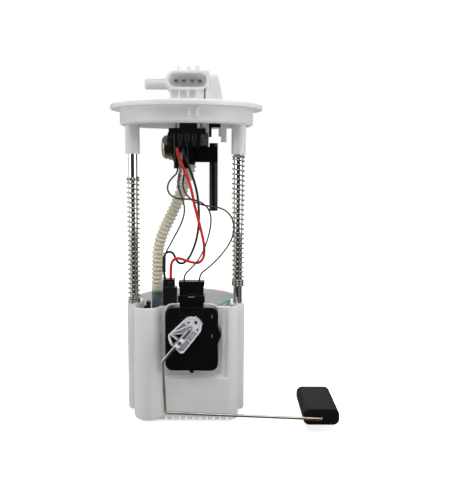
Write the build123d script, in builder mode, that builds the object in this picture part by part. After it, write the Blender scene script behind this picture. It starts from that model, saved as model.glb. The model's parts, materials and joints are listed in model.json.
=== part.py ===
from build123d import *
import math
import os

# Fuel pump module that hangs in a tank by its flange. Millimetres, +Z up.
# The origin is on the module's axis at the sealing underside of the flange.
# +X points to the float, -Y to the side that carries the level sensor.

os.makedirs("parts", exist_ok=True)

# Clearances
running_gap = 0.06      # a shaft in its bearing
slide_gap = 0.08        # a guide rod in the land of its ear
fit_gap = 0.1           # a plug in its socket, a hose over its barb
seat_gap = 0.3          # a loose piece beside its neighbour

# Tank flange
flange_d = 130.0
flange_t = 4.0
skirt_d = 114.0
skirt_h = 13.3
skirt_wall = 3.2
skirt_edge_r = 2.6
deck_d = 108.0
deck_rise = 1.5
deck_t = 3.0
rim_edge_r = 0.7
key_rib_w = 2.8
key_rib_proud = 0.25
key_rib_h = 8.8
key_rib_x = (4.7, 11.2)
stiffener_t = 1.6
stiffener_h = 3.5

# Guide rods and their springs
rod_d = 7.6
rod_x = 44.5
rod_y = -18.0
rod_seat_depth = 22.0
rod_into_ear = 22.0
boss_d = 12.0
boss_drop = 37.3
clip_groove_depth = 0.6
clip_groove_w = 1.2
clip_d = 8.8
clip_t = 1.0
spring_wire_d = 1.4
spring_mean_d = 9.45
spring_coils = 28
left_spring_h = 108.6
right_spring_h = 112.4

# Electrical connector on the deck
connector_w = 36.0
connector_h = 15.4
connector_x = 2.1
connector_z = 23.1
connector_front_y = -24.0
connector_back_y = -2.0
connector_wall = 2.1
connector_depth = 10.5
square_corner_r = 1.6
pedestal_x0, pedestal_x1 = -12.9, 15.6
pedestal_front_y = -18.5
pedestal_rib_w = 1.2
pedestal_rib_proud = 4.0
pedestal_rib_x = (-12.1, -5.4, 2.1, 9.1)
side_wall_x0, side_wall_x1 = 16.8, 19.3
latch_tab_y = -18.0
latch_tab_l = 6.0
terminal_pitch = 6.6
terminal_w = 2.8
terminal_t = 0.8
terminal_tip_back = 2.0
terminal_leg_y = -9.6
terminal_foot_z = -15.0

# Tower, outlet pipe and the block beside the connector
tower_x, tower_y = -4.0, 6.0
tower_d = 17.0
tower_top_z = 28.0
pipe_d = 9.49
pipe_bore_d = 6.2
pipe_z = 22.9
pipe_tip_x = -36.3
pipe_tip_r = 1.3
pipe_collar_d = 14.0     # stops the fuel line's fitting
pipe_collar_x = -16.0
nipple_d = 10.0
nipple_drop = 8.0
neck_ring_d = 20.0
neck_ring_drop = 14.6
block_x0, block_x1 = 9.0, 27.4
block_base_x = 32.6
block_y0, block_y1 = 0.0, 12.0
block_top_z = 30.2
block_shoulder = 2.6
block_corner_r = 1.2
block_pip_x, block_pip_w, block_pip_h = 23.6, 2.0, 0.9

# Socket, posts and pegs under the deck
socket_x0, socket_x1 = -5.3, 9.7
socket_post_l, socket_post_r = 1.6, 2.1
socket_y0, socket_y1 = -18.0, -7.0
socket_back_t = 1.5
socket_drop = 15.5
grey_post_x0, grey_post_x1 = 12.5, 19.1
grey_post_y0, grey_post_y1 = -6.2, -1.6
grey_post_drop = 29.9
peg_near = (28.8, 3.2, 2.6, 4.0, 21.9)      # x, y, width, depth, drop
peg_far = (32.0, 9.4, 5.0, 4.0, 26.4)

# Harness plug under the deck
plug_x0, plug_x1 = -10.0, 18.9
plug_y0, plug_y1 = -19.0, -7.0
plug_top_z, plug_bottom_z = -19.8, -31.3
plug_stem_top_z = -9.0
plug_rib_proud = 0.9
plug_rib_w = 0.9
plug_rib_z1, plug_rib_z0 = -20.4, -26.8
plug_cavity_x = (-4.6, 1.2, 7.1)
plug_rib_pair = 2.6
plug_shoulder_z = -15.7
plug_lug_l, plug_lug_r = 4.2, 2.2      # how far the shoulder passes the body, and falls short

# Regulator, its holder and the return tube
regulator_y, regulator_z = 6.0, -31.0
regulator_d = 22.4
regulator_x0, regulator_x1 = -22.1, -12.2
regulator_nose_d = 18.2
regulator_nose_l = 9.0
neck_d = 15.0
neck_top_z = -1.0
holder_d = 25.0
holder_x1 = 5.0
leg_x0, leg_x1 = -10.7, 2.1
leg_y0, leg_y1 = -10.0, 0.0
leg_bottom_z = -49.4
arm_x1 = 26.7
arm_y0, arm_y1 = 0.0, 12.0
arm_z0, arm_z1 = -44.0, -30.5
return_x, return_y = 23.1, 6.0
return_d = 7.4
return_bore_d = 5.2
return_top_z, return_bottom_z = -27.4, -86.5
hook_x0, hook_x1 = 19.1, 29.2
hook_strut_x0, hook_strut_x1 = 14.2, 18.6      # stands hidden behind the grey post
hook_z0, hook_z1 = -14.2, -10.8
hook_leg_z = -22.4
hook_leg_w = 2.3
hook_y0, hook_y1 = 0.0, 1.0
barb_d = 7.8

# Reservoir
cup_d = 91.2
cup_wall = 1.8
cup_top_z = -163.0
cup_bottom_z = -259.5
floor_t = 2.5
foot_h = 2.5
front_y = -43.0
side_x0, side_x1 = -42.5, 45.0
front_corner_r = 9.0
column_x, column_y = -30.5, -38.2
column_d = 24.0
column_foot_r = 4.5
ear_d = 12.0
ear_l = 28.0
ear_top_z = -164.5
ear_floor_t = 3.0
ear_land_h = 7.0
ear_foot_rise = 1.5
ear_foot_r = 1.6
notch_count = 10
notch_pitch = 5.7
notch_w = 1.7
notch_h = 2.2
notch_mid_x = 10.2
pocket_x0, pocket_x1 = -19.0, 36.0
pocket_depth = 3.2
pocket_bottom_z = -223.7
pocket_ledge_depth = 1.2
pocket_inner_x, pocket_inner_z = 31.2, -221.0
plate_t = 2.0
plate_x0, plate_x1 = -17.3, 28.9
plate_top_z = -160.9
plate_corner_r = 7.0
inlet_x, inlet_y = 20.0, 10.0
inlet_hole_d = 3.2
inlet_ring_d = 9.0
inlet_stem_d = 3.0

# Level sensor
sensor_x0, sensor_x1 = -15.3, 28.2
sensor_z0, sensor_z1 = -214.9, -161.5
sensor_corner_r = 6.0
sensor_t = 11.2
sensor_wall = 1.6
sensor_bump_x = 30.6
sensor_bump_z = (-191.6, -185.6, -182.6, -178.0)
sensor_tab_x, sensor_tab_w, sensor_tab_h = 6.4, 3.4, 1.8
channel_x0, channel_x1 = -3.4, 15.9
channel_z = -168.4
channel_proud = 0.5
pivot_x, pivot_z = 5.7, -177.9
shaft_d = 6.0
card_t = 1.0
card_back_gap = 0.5
wiper_t = 0.6
wiper_gap = 0.3

# Float arm, its holder and the float
arm_wire_d = 2.4
arm_wire_y = -56.2
arm_bend_r = 1.9
arm_knee = (-16.8, -205.0)
arm_ankle = (-14.6, -246.8)
arm_knee_y, arm_ankle_y, arm_end_y = -58.0, -61.5, -73.6
float_x, float_z = 111.7, -246.8
float_w, float_l, float_h = 29.0, 57.0, 13.2
float_front_y = -70.0
float_corner_r = 5.0
holder_plate_t = 1.2
holder_rim_h = 3.0
holder_rim_w = 1.2
holder_head_h = 2.4
holder_rib_w = 1.0
retainer_d = 7.0
retainer_t = 1.2
arm_tail = 2.2

# Pump
pump_x, pump_y = -14.0, -2.0
pump_d = 38.0
pump_shell_t = 1.0
pump_case_z0, pump_case_z1 = -247.0, -187.0
pump_cap_top_z = -178.0
pump_barb_x, pump_barb_y = -26.6, 2.0
pump_barb_top_z = -164.6
valve_bore_d = 5.6
valve_seat_d = 3.0
valve_seat_z = -179.0
valve_lift = 2.0
magnet_t = 4.0
magnet_gap = 0.7
magnet_z0, magnet_z1 = -236.0, -202.0
motor_shaft_d = 3.0
commutator_d = 14.0
impeller_d = 30.0
impeller_t = 2.6
impeller_z = -243.0
impeller_vanes = 24
bracket_t = 5.0
bracket_w = 2.0
bracket_arm_w = 8.0
strainer_l, strainer_w, strainer_t = 46.0, 30.0, 4.2

# Cords
hose_d = 10.9
hose_bore_d = barb_d + 2 * fit_gap
red_wire_d = 2.4
black_wire_d = 1.8
thin_wire_d = 1.2
splice_d, splice_l = 4.4, 6.0
splice_xy, splice_top_z = (-19.4, -11.6), -127.2
sleeve_d, sleeve_l = 3.4, 7.4
cord_gap = 0.15

# Values worked out from the driving ones
flange_r = flange_d / 2
skirt_r = skirt_d / 2
rod_r = rod_d / 2
deck_top_z = flange_t + deck_rise
deck_under_z = deck_top_z - deck_t
rod_places = ((-rod_x, rod_y), (rod_x, rod_y))
rod_top_z = -boss_drop + rod_seat_depth
rod_bottom_z = ear_top_z - rod_into_ear
plate_y = front_y + pocket_depth
card_back_y = plate_y - card_back_gap
wiper_back_y = card_back_y - card_t - wiper_gap
sensor_front_y = plate_y - sensor_t
holder_back_y = sensor_front_y - 0.9
arm_turn = math.degrees(math.atan2(arm_knee[1] - pivot_z, arm_knee[0] - pivot_x))
terminal_xs = [connector_x + terminal_pitch * (n - 1.5) for n in range(4)]
clip_top_z = ear_top_z - ear_land_h - 0.1
cap_joint_z = pump_case_z1 - 3.0
armature_d = pump_d - 2 * (pump_shell_t + magnet_t + magnet_gap)


def box_between(x0, x1, y0, y1, z0, z1, mode=Mode.ADD):
    """Box with its corners at the given coordinates, added to the open part."""
    with Locations(((x0 + x1) / 2, (y0 + y1) / 2, (z0 + z1) / 2)):
        Box(x1 - x0, y1 - y0, z1 - z0, mode=mode)


def keep(part, name):
    """Label a finished piece and write its STEP file."""
    part.label = name
    export_step(part, f"parts/{name}.step")


# Brass terminals: a blade in the connector and a leg down to the harness plug
with BuildPart() as flange_terminals:
    for terminal_x in terminal_xs:
        x0, x1 = terminal_x - terminal_w / 2, terminal_x + terminal_w / 2
        box_between(x0, x1, connector_front_y + terminal_tip_back, terminal_leg_y + terminal_t / 2,
                    connector_z - terminal_t / 2, connector_z + terminal_t / 2)
        box_between(x0, x1, terminal_leg_y - terminal_t / 2, terminal_leg_y + terminal_t / 2,
                    terminal_foot_z, connector_z)
keep(flange_terminals.part, "flange_terminals")


# Tank flange: rim, deck and skirt turned, then the mouldings above and below the deck
with BuildPart() as tank_flange:
    with BuildSketch(Plane.XZ):
        with BuildLine():
            Polyline((0, deck_top_z), (deck_d / 2, deck_top_z), (deck_d / 2, flange_t),
                     (flange_r, flange_t), (flange_r, 0), (skirt_r, 0), (skirt_r, -skirt_h),
                     (skirt_r - skirt_wall, -skirt_h), (skirt_r - skirt_wall, deck_under_z),
                     (0, deck_under_z), close=True)
        make_face()
    revolve(axis=Axis.Z)
    skirt_edges = tank_flange.edges().filter_by(GeomType.CIRCLE).group_by(Axis.Z)[0]
    fillet(skirt_edges.sort_by(lambda e: e.radius)[-1], skirt_edge_r)
    rim_edges = tank_flange.edges().filter_by(lambda e: e.geom_type == GeomType.CIRCLE
                                              and abs(e.radius - flange_r) < 0.01)
    fillet(rim_edges, rim_edge_r)

    # key ribs on the front of the skirt
    for rib_x in key_rib_x:
        with BuildSketch(Plane.XY.offset(-key_rib_h)):
            Circle(skirt_r + key_rib_proud)
            Circle(skirt_r - skirt_wall / 2, mode=Mode.SUBTRACT)
            with Locations((rib_x, -skirt_r)):
                Rectangle(key_rib_w, 2 * skirt_wall, mode=Mode.INTERSECT)
        extrude(amount=key_rib_h)

    # stiffeners under the deck, clear of the socket and the regulator
    with BuildSketch(Plane.XY.offset(deck_under_z - stiffener_h)):
        with PolarLocations(0, 2, 90):
            Rectangle(skirt_d - skirt_wall, stiffener_t)
    extrude(amount=stiffener_h + deck_t / 2)

    # bosses for the guide rods
    with BuildSketch(Plane.XY.offset(-boss_drop)):
        with Locations(*rod_places):
            Circle(boss_d / 2)
    extrude(amount=boss_drop + deck_under_z + deck_t / 2)
    with BuildSketch(Plane.XY.offset(-boss_drop)):
        with Locations(*rod_places):
            Circle(rod_r)
    extrude(amount=rod_seat_depth, mode=Mode.SUBTRACT)

    # pedestal with its ribs and the wall beside it
    box_between(pedestal_x0, pedestal_x1, pedestal_front_y, connector_back_y,
                deck_top_z - 1, connector_z - connector_h / 2 + 1)
    rib_spans = [(x - pedestal_rib_w / 2, x + pedestal_rib_w / 2) for x in pedestal_rib_x[:-1]]
    for rib_x0, rib_x1 in rib_spans + [(pedestal_rib_x[-1] - pedestal_rib_w / 2, pedestal_x1)]:
        box_between(rib_x0, rib_x1, pedestal_front_y - pedestal_rib_proud,
                    pedestal_front_y + 0.5, deck_top_z - 1, connector_z - connector_h / 2 + 1)
    box_between(side_wall_x0, side_wall_x1, pedestal_front_y - pedestal_rib_proud, block_y0 + 1,
                deck_top_z - 1, connector_z)

    # connector shroud, with one square upper corner
    with BuildSketch(Plane.XZ.offset(-connector_back_y)):
        with Locations((connector_x, connector_z)):
            SlotOverall(connector_w, connector_h)
        with Locations((connector_x + connector_w / 4, connector_z + connector_h / 4)):
            RectangleRounded(connector_w / 2, connector_h / 2, square_corner_r)
    extrude(amount=connector_back_y - connector_front_y)
    with BuildSketch(Plane.XZ.offset(-connector_front_y)):
        with Locations((connector_x, connector_z)):
            SlotOverall(connector_w - 2 * connector_wall, connector_h - 2 * connector_wall)
    extrude(amount=-connector_depth, mode=Mode.SUBTRACT)

    # latch tabs on top of the shroud: pointed, plain and double
    shroud_top_z = connector_z + connector_h / 2
    with BuildSketch(Plane.XZ.offset(-latch_tab_y - latch_tab_l / 2)):
        with BuildLine():
            Polyline((-6.5, shroud_top_z - 1), (-6.5, shroud_top_z + 3.0), (-5.6, shroud_top_z + 4.5),
                     (-4.0, shroud_top_z + 2.8), (-4.0, shroud_top_z - 1), close=True)
        make_face()
        with Locations((2.7, shroud_top_z + 1.2)):
            Rectangle(3.0, 4.4)
        with Locations((8.8, shroud_top_z + 1.4), (10.9, shroud_top_z + 1.4)):
            Rectangle(1.4, 5.6)
        with Locations((9.85, shroud_top_z + 0.2)):
            Rectangle(3.4, 2.4)
    extrude(amount=latch_tab_l)

    # tower, outlet pipe and their passage down to the nipple
    with Locations((tower_x, tower_y, (deck_top_z - 1 + tower_top_z) / 2)):
        Cylinder(tower_d / 2, tower_top_z - deck_top_z + 1)
    with BuildSketch(Plane.YZ.offset(pipe_tip_x)):
        with Locations((tower_y, pipe_z)):
            Circle(pipe_d / 2)
    extrude(amount=tower_x - pipe_tip_x)
    with BuildSketch(Plane.YZ.offset(pipe_collar_x)):
        with Locations((tower_y, pipe_z)):
            Circle(pipe_collar_d / 2)
    extrude(amount=tower_x - pipe_collar_x)
    pipe_ring = tank_flange.edges().filter_by(
        lambda e: e.geom_type == GeomType.CIRCLE and abs(e.center().X - pipe_tip_x) < 0.01)
    fillet(pipe_ring, pipe_tip_r)
    with BuildSketch(Plane.XY.offset(-nipple_drop)):
        with Locations((tower_x, tower_y)):
            Circle(nipple_d / 2)
    extrude(amount=nipple_drop + deck_under_z + deck_t / 2)
    with BuildSketch(Plane.XY.offset(-neck_ring_drop)):
        with Locations((tower_x, tower_y)):
            Circle(neck_ring_d / 2)
            Circle(neck_d / 2 + fit_gap, mode=Mode.SUBTRACT)
    extrude(amount=neck_ring_drop + deck_under_z + deck_t / 2)
    with BuildSketch(Plane.YZ.offset(pipe_tip_x)):
        with Locations((tower_y, pipe_z)):
            Circle(pipe_bore_d / 2)
    extrude(amount=tower_x - pipe_tip_x, mode=Mode.SUBTRACT)
    with BuildSketch(Plane.XY.offset(-nipple_drop)):
        with Locations((tower_x, tower_y)):
            Circle(pipe_bore_d / 2)
    extrude(amount=nipple_drop + pipe_z + pipe_bore_d / 2, mode=Mode.SUBTRACT)

    # block beside the connector, with its sloping gusset
    with BuildSketch(Plane.XZ.offset(-block_y1)):
        with BuildLine():
            Polyline((block_x0, deck_top_z - 1), (block_base_x, deck_top_z - 1),
                     (block_x1, block_top_z - block_shoulder),
                     (block_x1 - block_shoulder / 2, block_top_z),
                     (block_x0, block_top_z), close=True)
        make_face()
    extrude(amount=block_y1 - block_y0)
    block_corner = tank_flange.edges().filter_by(Axis.Y).filter_by(
        lambda e: e.center().X > block_x1 - block_shoulder
        and e.center().Z > block_top_z - 2 * block_shoulder)
    fillet(block_corner, block_corner_r)
    box_between(block_pip_x - block_pip_w / 2, block_pip_x + block_pip_w / 2, block_y0 + 2,
                block_y0 + 2 + block_pip_w, block_top_z - 1, block_top_z + block_pip_h)

    # socket for the harness plug: two posts and a back wall
    for post_x0, post_x1 in ((socket_x0 - socket_post_l, socket_x0),
                             (socket_x1, socket_x1 + socket_post_r)):
        box_between(post_x0, post_x1, socket_y0, socket_y1, -socket_drop, deck_under_z + 1)
    box_between(socket_x0 - 0.5, socket_x1 + 0.5, socket_y1, socket_y1 + socket_back_t,
                -socket_drop + 8, deck_under_z + 1)

    # post beside the plug and the pegs that carry the regulator holder's hook
    box_between(grey_post_x0, grey_post_x1, grey_post_y0, grey_post_y1,
                -grey_post_drop, deck_under_z + 1)
    for peg_x, peg_y, peg_w, peg_l, peg_drop in (peg_near, peg_far):
        box_between(peg_x - peg_w / 2, peg_x + peg_w / 2, peg_y - peg_l / 2, peg_y + peg_l / 2,
                    -peg_drop, deck_under_z + 1)

    # room for the moulded-in terminals
    add(flange_terminals.part, mode=Mode.SUBTRACT)
keep(tank_flange.part, "tank_flange")


# Guide rods, with a groove for the clip that keeps the reservoir on
for side, (x, y) in zip(("left", "right"), rod_places):
    with BuildPart() as guide_rod:
        with BuildSketch(Plane.XY.offset(rod_bottom_z)):
            with Locations((x, y)):
                Circle(rod_r)
        extrude(amount=rod_top_z - rod_bottom_z)
        chamfer(guide_rod.edges().filter_by(GeomType.CIRCLE), 0.6)
        with BuildSketch(Plane.XY.offset(clip_top_z - clip_groove_w)):
            with Locations((x, y)):
                Circle(rod_r + 1)
                Circle(rod_r - clip_groove_depth, mode=Mode.SUBTRACT)
        extrude(amount=clip_groove_w, mode=Mode.SUBTRACT)
    keep(guide_rod.part, f"guide_rod_{side}")

with BuildPart() as rod_clips:
    with BuildSketch(Plane.XY.offset(clip_top_z - clip_groove_w + (clip_groove_w - clip_t) / 2)):
        with Locations(*rod_places):
            Circle(clip_d / 2)
            Circle(rod_r - clip_groove_depth, mode=Mode.SUBTRACT)
            with Locations((0, -clip_d / 2)):
                Rectangle(3.0, clip_d, mode=Mode.SUBTRACT)
    extrude(amount=clip_t)
keep(rod_clips.part, "rod_clips")


# Springs: left-handed, round wire; one stands on its ear, one hangs under its boss
spring_seats = {"left": (-rod_x, ear_top_z, left_spring_h),
                "right": (rod_x, -boss_drop - right_spring_h, right_spring_h)}
for side, (x, seat_z, height) in spring_seats.items():
    lift = height - spring_wire_d
    with BuildPart() as rod_spring:
        with BuildLine() as coil:
            Helix(lift / spring_coils, lift, spring_mean_d / 2,
                  center=(x, rod_y, seat_z + spring_wire_d / 2), lefthand=True)
        with BuildSketch(Plane(origin=coil.line @ 0, z_dir=coil.line % 0)):
            Circle(spring_wire_d / 2)
        sweep(is_frenet=True)
    keep(rod_spring.part, f"rod_spring_{side}")


# Harness plug: stem in the socket, shoulder under its posts, ribbed body and end block
with BuildPart() as harness_plug:
    box_between(plug_x0, plug_x1, plug_y0, plug_y1, plug_bottom_z, plug_top_z)
    fillet(harness_plug.edges().filter_by(Axis.Z), 1.2)
    box_between(socket_x0 + fit_gap, socket_x1 - fit_gap, socket_y0, socket_y1 - fit_gap,
                plug_top_z - 1, plug_stem_top_z)
    box_between(plug_x0 - plug_lug_l, plug_x1 - plug_lug_r, plug_y0 + 1, plug_y1,
                plug_top_z - 1, plug_shoulder_z)
    for cavity_x in plug_cavity_x:
        for rib_x in (cavity_x - plug_rib_pair / 2, cavity_x + plug_rib_pair / 2):
            box_between(rib_x - plug_rib_w / 2, rib_x + plug_rib_w / 2,
                        plug_y0 - plug_rib_proud, plug_y0 + 0.5, plug_rib_z0, plug_rib_z1)
        box_between(cavity_x - plug_rib_w / 2, cavity_x + plug_rib_w / 2,
                    plug_y0 - plug_rib_proud, plug_y0 + 0.5, plug_bottom_z + 0.6, plug_rib_z0)
    box_between(plug_x1 - 6.2, plug_x1 - 0.8, plug_y0 - plug_rib_proud, plug_y0 + 0.5,
                plug_bottom_z + 1.5, plug_top_z - 1.0)
    add(flange_terminals.part, mode=Mode.SUBTRACT)
keep(harness_plug.part, "harness_plug")


# Regulator holder: round socket, neck, wire guide leg, arm, return tube and hook
hose_top = Vector(3.4, 6.0, arm_z0)
hose_second = Vector(0.6, 6.0, -54.5)
with BuildPart() as regulator_holder:
    with BuildSketch(Plane.YZ.offset(regulator_x1)):
        with Locations((regulator_y, regulator_z)):
            Circle(holder_d / 2)
    extrude(amount=holder_x1 - regulator_x1)
    box_between(leg_x0, leg_x1, leg_y0, leg_y1, leg_bottom_z, plug_bottom_z - 0.2)
    fillet(regulator_holder.edges().filter_by(Axis.Z).group_by(Axis.Y)[0], 2.0)
    box_between(holder_x1 - 4, arm_x1, arm_y0, arm_y1, arm_z0, arm_z1)
    with BuildSketch(Plane.XY.offset(return_bottom_z)):
        with Locations((return_x, return_y)):
            Circle(return_d / 2)
    extrude(amount=return_top_z - return_bottom_z)

    # neck up to the flange's nipple
    with BuildSketch(Plane.XY.offset(regulator_z)):
        with Locations((tower_x, tower_y)):
            Circle(neck_d / 2)
    extrude(amount=neck_top_z - regulator_z)
    with BuildSketch(Plane.XY.offset(-nipple_drop - 0.3)):
        with Locations((tower_x, tower_y)):
            Circle(nipple_d / 2 + fit_gap)
    extrude(amount=nipple_drop, mode=Mode.SUBTRACT)
    with BuildSketch(Plane.XY.offset(regulator_z)):
        with Locations((tower_x + 2, tower_y)):
            Circle(pipe_bore_d / 2)
    extrude(amount=-regulator_z - nipple_drop, mode=Mode.SUBTRACT)

    # strut behind the grey post, and the hook on it that clips behind the near peg
    box_between(hook_strut_x0, hook_strut_x1, hook_y0, hook_y1, arm_z1 - 1, hook_z1)
    box_between(hook_strut_x0, hook_x1, hook_y0, hook_y1, hook_z0, hook_z1)
    box_between(hook_x0, hook_x0 + hook_leg_w, hook_y0, hook_y1, hook_leg_z, hook_z1)

    # socket for the regulator's nose, bore of the return tube, barb for the hose
    with BuildSketch(Plane.YZ.offset(regulator_x1)):
        with Locations((regulator_y, regulator_z)):
            Circle(regulator_nose_d / 2 + fit_gap)
    extrude(amount=regulator_nose_l + seat_gap, mode=Mode.SUBTRACT)
    with BuildSketch(Plane.XY.offset(return_bottom_z)):
        with Locations((return_x, return_y)):
            Circle(return_bore_d / 2)
    extrude(amount=arm_z0 + 8 - return_bottom_z, mode=Mode.SUBTRACT)
    with BuildSketch(Plane(origin=hose_top, z_dir=hose_second - hose_top)):
        Circle(barb_d / 2)
    extrude(amount=8)
    with BuildSketch(Plane(origin=hose_top, z_dir=hose_top - hose_second)):
        Circle(barb_d / 2)
    extrude(amount=4)
keep(regulator_holder.part, "regulator_holder")


# Pressure regulator: a drawn steel can with a crimped flange and a nose, turned about X
with BuildPart() as pressure_regulator:
    can_r, nose_r = regulator_d / 2, regulator_nose_d / 2
    with BuildSketch(Plane.XY) as can_section:
        with BuildLine():
            top_left = (regulator_x0 + 3.2, can_r - 1.0)
            l1 = Line((regulator_x0, 0), (regulator_x0, 5.0))
            l2 = ThreePointArc(l1 @ 1, (regulator_x0 + 0.7, can_r - 3.2), top_left)
            l3 = Polyline(l2 @ 1, (regulator_x1 - 3.4, can_r - 1.0), (regulator_x1 - 3.4, can_r),
                          (regulator_x1, can_r), (regulator_x1, nose_r),
                          (regulator_x1 + 4.0, nose_r), (regulator_x1 + 4.0, nose_r - 2.0),
                          (regulator_x1 + 6.4, nose_r - 2.0), (regulator_x1 + 6.4, nose_r),
                          (regulator_x1 + regulator_nose_l, nose_r),
                          (regulator_x1 + regulator_nose_l, 0))
            Line(l3 @ 1, l1 @ 0)
        make_face()
    revolve(axis=Axis.X)
can_part = pressure_regulator.part.moved(Location((0, regulator_y, regulator_z)))
keep(can_part, "pressure_regulator")

with BuildPart() as regulator_o_ring:
    ring_section_r = 0.95
    with Locations(Location((regulator_x1 + 5.2, regulator_y, regulator_z), (0, 90, 0))):
        Torus(regulator_nose_d / 2 - ring_section_r, ring_section_r)
keep(regulator_o_ring.part, "regulator_o_ring")

with BuildPart() as regulator_clip:
    band_in = regulator_d / 2 + fit_gap
    with BuildSketch(Plane.YZ.offset(regulator_x1 - 4.4)):
        with Locations((regulator_y, regulator_z)):
            Circle(band_in + 1.6)
            Circle(band_in, mode=Mode.SUBTRACT)
            with Locations((0, -regulator_d / 2 - 2)):
                Rectangle(2 * regulator_d, regulator_d + 6, mode=Mode.SUBTRACT)
    extrude(amount=4.4)
keep(regulator_clip.part, "regulator_clip")


def cup_outline(inset):
    """Plan of the reservoir without its ears, moved inwards by inset."""
    with BuildSketch() as disc:
        Circle(cup_d / 2 - inset)
        with Locations((0, front_y + inset - 10)):
            Rectangle(cup_d, 20, mode=Mode.SUBTRACT)
    with BuildSketch() as plan:
        with Locations(((side_x0 + side_x1) / 2, front_y / 2 + inset / 2)):
            Rectangle(side_x1 - side_x0 - 2 * inset, -front_y - inset)
        fillet(plan.vertices().group_by(Axis.Y)[0], front_corner_r - inset)
        add(disc.sketch)
        with Locations((column_x, column_y)):
            Circle(column_d / 2 - inset)
    return plan.sketch


def ear_outline():
    """Plan of both ears, each a slot that holds its rod at the front end."""
    with BuildSketch() as plan:
        with Locations(*[(x, y + (ear_l - ear_d) / 2) for x, y in rod_places]):
            SlotOverall(ear_l, ear_d, rotation=90)
    return plan.sketch


# Reservoir cup: shell on a notched foot, with rod ears and the pocket for the sensor
with BuildPart() as reservoir_cup:
    with BuildSketch(Plane.XY.offset(cup_bottom_z)):
        add(cup_outline(0))
    extrude(amount=cup_top_z - cup_bottom_z)
    column_foot = reservoir_cup.edges().group_by(Axis.Z)[0].filter_by(
        lambda e: e.geom_type == GeomType.CIRCLE and abs(e.radius - column_d / 2) < 0.01)
    fillet(column_foot, column_foot_r)
    with BuildSketch(Plane.XY.offset(cup_bottom_z + foot_h + floor_t)):
        add(cup_outline(cup_wall))
    extrude(amount=cup_top_z - cup_bottom_z, mode=Mode.SUBTRACT)
    with BuildSketch(Plane.XY.offset(cup_bottom_z)):
        add(cup_outline(cup_wall))
        with Locations((column_x, column_y)):
            Circle(column_d / 2, mode=Mode.SUBTRACT)
    extrude(amount=foot_h, mode=Mode.SUBTRACT)

    # ears, which end a little above the foot
    with BuildPart(mode=Mode.PRIVATE) as ears:
        with BuildSketch(Plane.XY.offset(cup_bottom_z + ear_foot_rise)):
            add(ear_outline())
        extrude(amount=ear_top_z - cup_bottom_z - ear_foot_rise)
        fillet(ears.edges().group_by(Axis.Z)[0], ear_foot_r)
    add(ears.part)
    with BuildSketch(Plane.XY.offset(ear_top_z)):
        add(ear_outline())
    extrude(amount=cup_top_z - ear_top_z + 1, mode=Mode.SUBTRACT)
    ear_floor_z = cup_bottom_z + ear_foot_rise + ear_floor_t
    with BuildSketch(Plane.XY.offset(ear_floor_z)):
        with Locations(*rod_places):
            Circle(clip_d / 2 + fit_gap)
    extrude(amount=ear_top_z - ear_land_h - ear_floor_z, mode=Mode.SUBTRACT)
    with BuildSketch(Plane.XY.offset(ear_floor_z)):
        with Locations(*rod_places):
            Circle(rod_r + slide_gap)
    extrude(amount=cup_top_z - cup_bottom_z, mode=Mode.SUBTRACT)

    # stepped pocket in the front wall, and the plate that rises behind the sensor
    box_between(pocket_x0 - cup_wall, pocket_x1 + cup_wall, front_y + 0.5, plate_y + plate_t,
                pocket_bottom_z - cup_wall, cup_top_z)
    box_between(pocket_x0, pocket_x1, front_y - column_d / 2, front_y + pocket_ledge_depth,
                pocket_bottom_z, cup_top_z + 1, mode=Mode.SUBTRACT)
    box_between(pocket_x0, pocket_inner_x, front_y, plate_y, pocket_inner_z,
                cup_top_z + 1, mode=Mode.SUBTRACT)
    with BuildSketch(Plane.XZ.offset(-plate_y)):
        with Locations(((plate_x0 + plate_x1) / 2, (plate_top_z + cup_top_z) / 2 - plate_corner_r)):
            RectangleRounded(plate_x1 - plate_x0, plate_top_z - cup_top_z + 2 * plate_corner_r,
                             plate_corner_r)
    extrude(amount=-plate_t)

    # notches through the foot of the front wall, and the inlet holes in the floor
    for n in range(notch_count):
        notch_x = notch_mid_x + notch_pitch * (n - (notch_count - 1) / 2)
        box_between(notch_x - notch_w / 2, notch_x + notch_w / 2, front_y - 1,
                    front_y + cup_wall + 1, cup_bottom_z - 1, cup_bottom_z + notch_h,
                    mode=Mode.SUBTRACT)
    with BuildSketch(Plane.XY.offset(cup_bottom_z)):
        with Locations((inlet_x, inlet_y)):
            Circle(inlet_stem_d / 2 + fit_gap)
            with PolarLocations(inlet_ring_d / 2, 6):
                Circle(inlet_hole_d / 2)
    extrude(amount=foot_h + floor_t + 1, mode=Mode.SUBTRACT)
keep(reservoir_cup.part, "reservoir_cup")

# Umbrella valve over the inlet holes
with BuildPart() as inlet_valve:
    valve_floor_z = cup_bottom_z + foot_h + floor_t
    with BuildSketch(Plane.XZ):
        with BuildLine():
            Polyline((0, 2.4), (3.0, 2.2), (7.4, 0.9), (7.4, 0.0), (inlet_stem_d / 2, 0.0),
                     (inlet_stem_d / 2, -floor_t - fit_gap), (2.3, -floor_t - fit_gap),
                     (1.4, -floor_t - 1.6), (0, -floor_t - 1.6), close=True)
        make_face()
    revolve(axis=Axis.Z)
valve_part = inlet_valve.part.moved(Location((inlet_x, inlet_y, valve_floor_z)))
keep(valve_part, "inlet_valve")


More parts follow.
